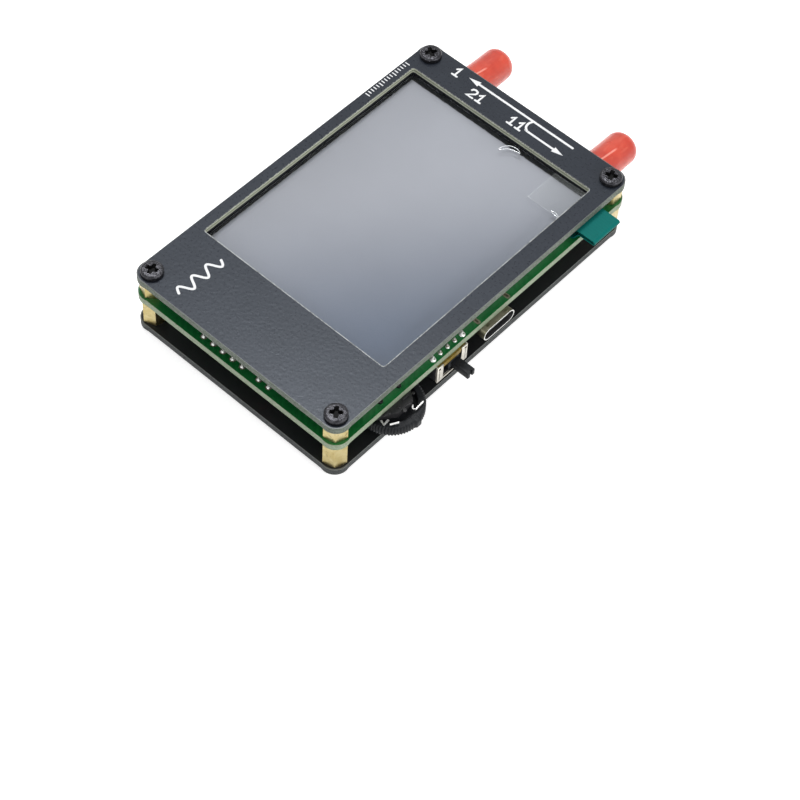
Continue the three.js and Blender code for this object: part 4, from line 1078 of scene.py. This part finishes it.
chipRows = [  # x and y of the first, step in x and y, count, kind
    (-14.0, -24.6, 2.3, 0.0, 13, "cap"), (-5.6, -21.0, 0.0, 1.6, 6, "resistor"), (9.7, -21.0, 0.0, 1.6, 6, "cap"),
    (-13.0, -8.6, 2.2, 0.0, 9, "resistor"), (-19.0, 3.4, 1.9, 0.0, 8, "cap"),
    (-17.5, 11.2, 2.6, 0.0, 14, "resistor"), (15.0, -0.5, 0.0, 1.8, 5, "cap"), (-10.4, 38.8, 2.0, 0.0, 12, "cap"),
    (-19.5, -33.6, 3.0, 0.0, 13, "resistor"), (-22.5, -20.0, 0.0, 2.4, 14, "cap"), (2.0, 2.0, 1.9, 0.0, 5, "cap"),
    (-16.0, -16.0, 0.0, 1.9, 4, "resistor"),
]
tantalums = [(19.0, 9.0), (-21.0, -25.5)]
chipSizes = {"cap": (1.6, 0.8, 0.8, 1), "resistor": (1.6, 0.8, 0.45, 0), "tantalum": (3.5, 2.8, 1.5, 1)}


def smallPart(shape, x, y, turn, kind):
    length, width, height, finish = chipSizes[kind]
    end, half = length / 2, width / 2
    spot = at(x, y, board["low"], turn)
    block(shape, (0.2 - end, 0.02 - half, -height), (end - 0.2, half - 0.02, -0.03), 0.04, 1, spot, finish)
    for side in (-1, 1):
        inner = side * (end - 0.28)
        block(shape, (inner, -half, -height - 0.02), (side * end, half, -0.02), 0.06, 2, spot, 2)
        block(shape, (inner, -half - 0.05, -0.05), (side * (end + 0.3), half + 0.05, 0.0), 0.02, 1, spot, 2)


def addSmallParts():
    chance = random.Random(7)
    shape = bmesh.new()
    for x, y, stepX, stepY, count, kind in chipRows:
        for number in range(count):
            if chance.random() >= 0.15:  # the rest stay empty
                smallPart(shape, x + stepX * number, y + stepY * number, 90 if stepX else 0, kind)
    for x, y in tantalums:
        smallPart(shape, x, y, 90, "tantalum")
    addPiece("smallParts", shape, ["chipResin", "tanCeramic", "tinSolder"])


addSmallParts()
print("board dressed")


# battery and screening fence

pouch = {"corner": 1.4, "flap": 0.4, "terrace": 3.4}


def addBattery():  # foil pouch with folded side seams and a taped end
    low, high = [Vector(corner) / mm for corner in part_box("battery_cell")]
    shape = bmesh.new()
    flap, near = pouch["flap"], low.y + pouch["terrace"]
    bottom, top = low.z + 0.01, high.z
    rings = []
    for inset, z in ((6.0, bottom), (1.6, bottom), (0.6, bottom + 0.14), (0.16, bottom + 0.6), (0.0, bottom + 1.4),
                     (0.0, top - 1.4), (0.16, top - 0.6), (0.6, top - 0.2), (1.6, top - 0.06), (6.0, top)):
        outline = roundedOutline((low.x + flap + inset, near + inset), (high.x - flap - inset, high.y - inset),
                                 max(0.05, pouch["corner"] - inset * 0.5))
        rings.append([(x, y, z) for x, y in outline])
    skin(shape, rings)
    for x in (low.x, high.x - flap * 1.1):
        block(shape, (x, near + 0.6, bottom + 0.7), (x + flap * 1.1, high.y - 0.5, top - 0.9), 0.12, 3)
    block(shape, (low.x + 1.2, low.y, 3.3), (high.x - 1.2, near + 0.4, 4.2), 0.1)
    end = low.y - 0.02
    for y0, y1, z0, z1, edge, steps in ((end, near + 2.2, 3.1, 3.2, 0.02, 1),
                                        (end, near - 0.3, 4.25, 4.4, 0.02, 1),
                                        (near - 0.35, near - 0.1, 4.25, top + 0.02, 0.05, 2),
                                        (near - 0.3, near + 3.0, top - 0.1, top + 0.03, 0.02, 1)):
        block(shape, (low.x + 7.0, y0, z0), (high.x - 2.4, y1, z1), edge, steps, finish=1)
    addPiece("batteryPouch", shape, ["pouchFoil", "amberTape"], stands=["battery_cell"], smooth=40)


addBattery()

fence = {"out": 0.15, "in": 0.02, "foot": 7.3}


def addShieldFrame():  # soldered fence round the screening can, and the can's holes
    low, high = [Vector(corner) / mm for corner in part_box("shield_can")]
    shape = bmesh.new()
    left, right = (low.x - fence["out"], low.x + fence["in"]), (high.x - fence["in"], high.x + fence["out"])
    near, far = (low.y - fence["out"], low.y + fence["in"]), (high.y - fence["in"], high.y + fence["out"])
    wide, long = (left[0], right[1]), (near[0], far[1])
    for x, y in ((wide, near), (wide, far), (left, long), (right, long)):
        block(shape, (x[0], y[0], fence["foot"]), (x[1], y[1], board["low"]), 0.05)
    for row in range(3):
        for column in range(9):
            turned(shape, [(0.75, 0.0), (0.7, -0.04), (0.5, -0.05), (0.42, 0.0)], 24,
                   at(-16 + column * 4, low.y + 4.5 + row * 6.8, low.z))
    addPiece("shieldFence", shape, ["sheetSteel"])


addShieldFrame()


# marks printed on the front panel

ink = {"low": panelFace - 0.005, "high": panelFace + 0.02}

digits = {  # strokes of each figure in a box one high
    "1": [[(-0.26, 0.72), (0.02, 1.0), (0.02, 0.0)], [(-0.26, 0.0), (0.3, 0.0)]],
    "2": [[(-0.32, 0.76), (-0.24, 0.93), (0.0, 1.0), (0.24, 0.93), (0.33, 0.74), (0.26, 0.55), (-0.34, 0.0),
           (0.36, 0.0)]],
}


def printed(shape, outline, lift=0.0):
    slab(shape, outline, ink["low"], ink["high"] + lift)


def stroke(shape, points, width, lift=0.0):  # a printed line with round ends
    line = [Vector(point) for point in points]
    left, right = [], []
    for index, point in enumerate(line):
        first = (point - line[index - 1]).normalized() if index else None
        second = (line[index + 1] - point).normalized() if index < len(line) - 1 else None
        edge = first or second
        way = (edge + (second or first)).normalized()
        side = Vector((-way.y, way.x))
        reach = width / 2 / max(0.5, side.dot(Vector((-edge.y, edge.x))))
        left.append(point + side * reach)
        right.append(point - side * reach)
    outline = list(right)
    for middle, start, rest in ((line[-1], right[-1], left[::-1]), (line[0], left[0], [])):
        for step in range(1, 7):
            outline.append(middle + Matrix.Rotation(pi * step / 7, 2) @ (start - middle))
        outline += rest
    printed(shape, outline, lift)


def addMarks():
    shape = bmesh.new()
    stroke(shape, [(13.3, 40.45), (-12.0, 40.45)], 0.5)
    printed(shape, [(-14.1, 40.45), (-11.4, 39.75), (-11.4, 41.15)], 0.003)
    bend = [(3.06, 40.3), (2.75, 39.6), (2.75, 38.9), (3.0, 38.2), (3.6, 37.7), (4.3, 37.55), (11.0, 37.55)]
    stroke(shape, curvePoints(bend, 4), 0.48, 0.006)
    printed(shape, [(13.2, 37.55), (10.7, 38.25), (10.7, 36.85)], 0.01)
    for words, x, y, height in (("1", -16.8, 40.0, 2.3), ("21", -9.7, 37.7, 2.2), ("11", 0.9, 37.7, 2.2)):
        for number, digit in enumerate(words):
            middle = x + (number - (len(words) - 1) / 2) * height * 0.95
            for turn, points in enumerate(digits[digit]):
                line = [(middle + px * height, y + (py - 0.5) * height) for px, py in points]
                stroke(shape, line, 0.45, 0.004 * turn)
    wave = [(-16.6 + 1.25 * sin(step / 10 * pi), -28.4 - 11.2 * step / 60) for step in range(61)]
    stroke(shape, wave, 0.52)  # a plain sine wave
    for step in range(16):
        y = 22.5 + step * 0.8
        stroke(shape, [(-26.2, y), (-25.2 if step % 5 == 0 else -25.5, y)], 0.24)
    addPiece("panelMarks", shape, ["whiteInk"], smooth=20)


addMarks()
print("marks made")


# floor and light

light = {
    "world": 0.36, "floor": -1.17,
    "lamps": [  # name, place, point it faces, width, height, power
        ("key", (-0.23, 0.18, 0.8), (0.0, 0.0, 0.0), 0.25, 0.25, 4.1),
        ("front", (0.15, -0.75, 0.55), (0.0, -0.01, 0.0), 0.5, 0.4, 1.5),
        ("side", (0.8, 0.1, 0.4), (0.0, 0.0, 0.0), 0.5, 0.4, 3.6),
    ],
}


def seenDirectly(paint):  # 1 for rays that should meet plain white: the camera's, mirrors' and glass's
    eye, mirror, glass = [paint.node("LightPath", output=f"Is {kind} Ray") for kind in
                          ("Camera", "Glossy", "Transmission")]
    return paint.most(paint.most(eye, mirror), glass)


def setStage():
    shape = bmesh.new()
    bmesh.ops.create_grid(shape, x_segments=8, y_segments=8, size=1.6)
    data = bpy.data.meshes.new("floor")
    shape.to_mesh(data)
    shape.free()
    floor = addObject("floor", data)
    floor.location.z = light["floor"] * mm
    paint = newPaint("floorPaper")
    fibre = paint.noise(0.02, 3, 0.5)
    colour = paint.blend(fibre, [0.86, 0.86, 0.86, 1], [0.9, 0.9, 0.9, 1])
    glow = paint.blend(seenDirectly(paint), [0, 0, 0, 1], [0.66, 0.66, 0.66, 1])
    behind = paint.node("NewGeometry", output="Backfacing") * paint.node("LightPath", output="Is Camera Ray")
    paint.finish(colour=colour, rough=0.9, glow=glow, glowing=1.0,
                 alpha=1 - behind)  # open to a camera that looks up
    data.materials.append(paints["floorPaper"])

    world = bpy.data.worlds.new("studio")
    sky = Paint(world)
    strength = seenDirectly(sky) * (1.0 - light["world"]) + light["world"]
    sky.finish(sky.node("Background", inputs={"Color": (1, 1, 1, 1), "Strength": strength}), "World")
    bpy.context.scene.world = world

    for name, place, aim, width, height, power in light["lamps"]:
        lamp = bpy.data.lights.new(name, "AREA")
        lamp.shape, lamp.size, lamp.size_y = "RECTANGLE", width, height
        lamp.energy = power
        made = addObject(name, lamp)
        made.location = place
        made.rotation_euler = (Vector(aim) - Vector(place)).to_track_quat("-Z", "Y").to_euler()


setStage()
bpy.context.scene.view_settings.view_transform = "Standard"
print("stage set")
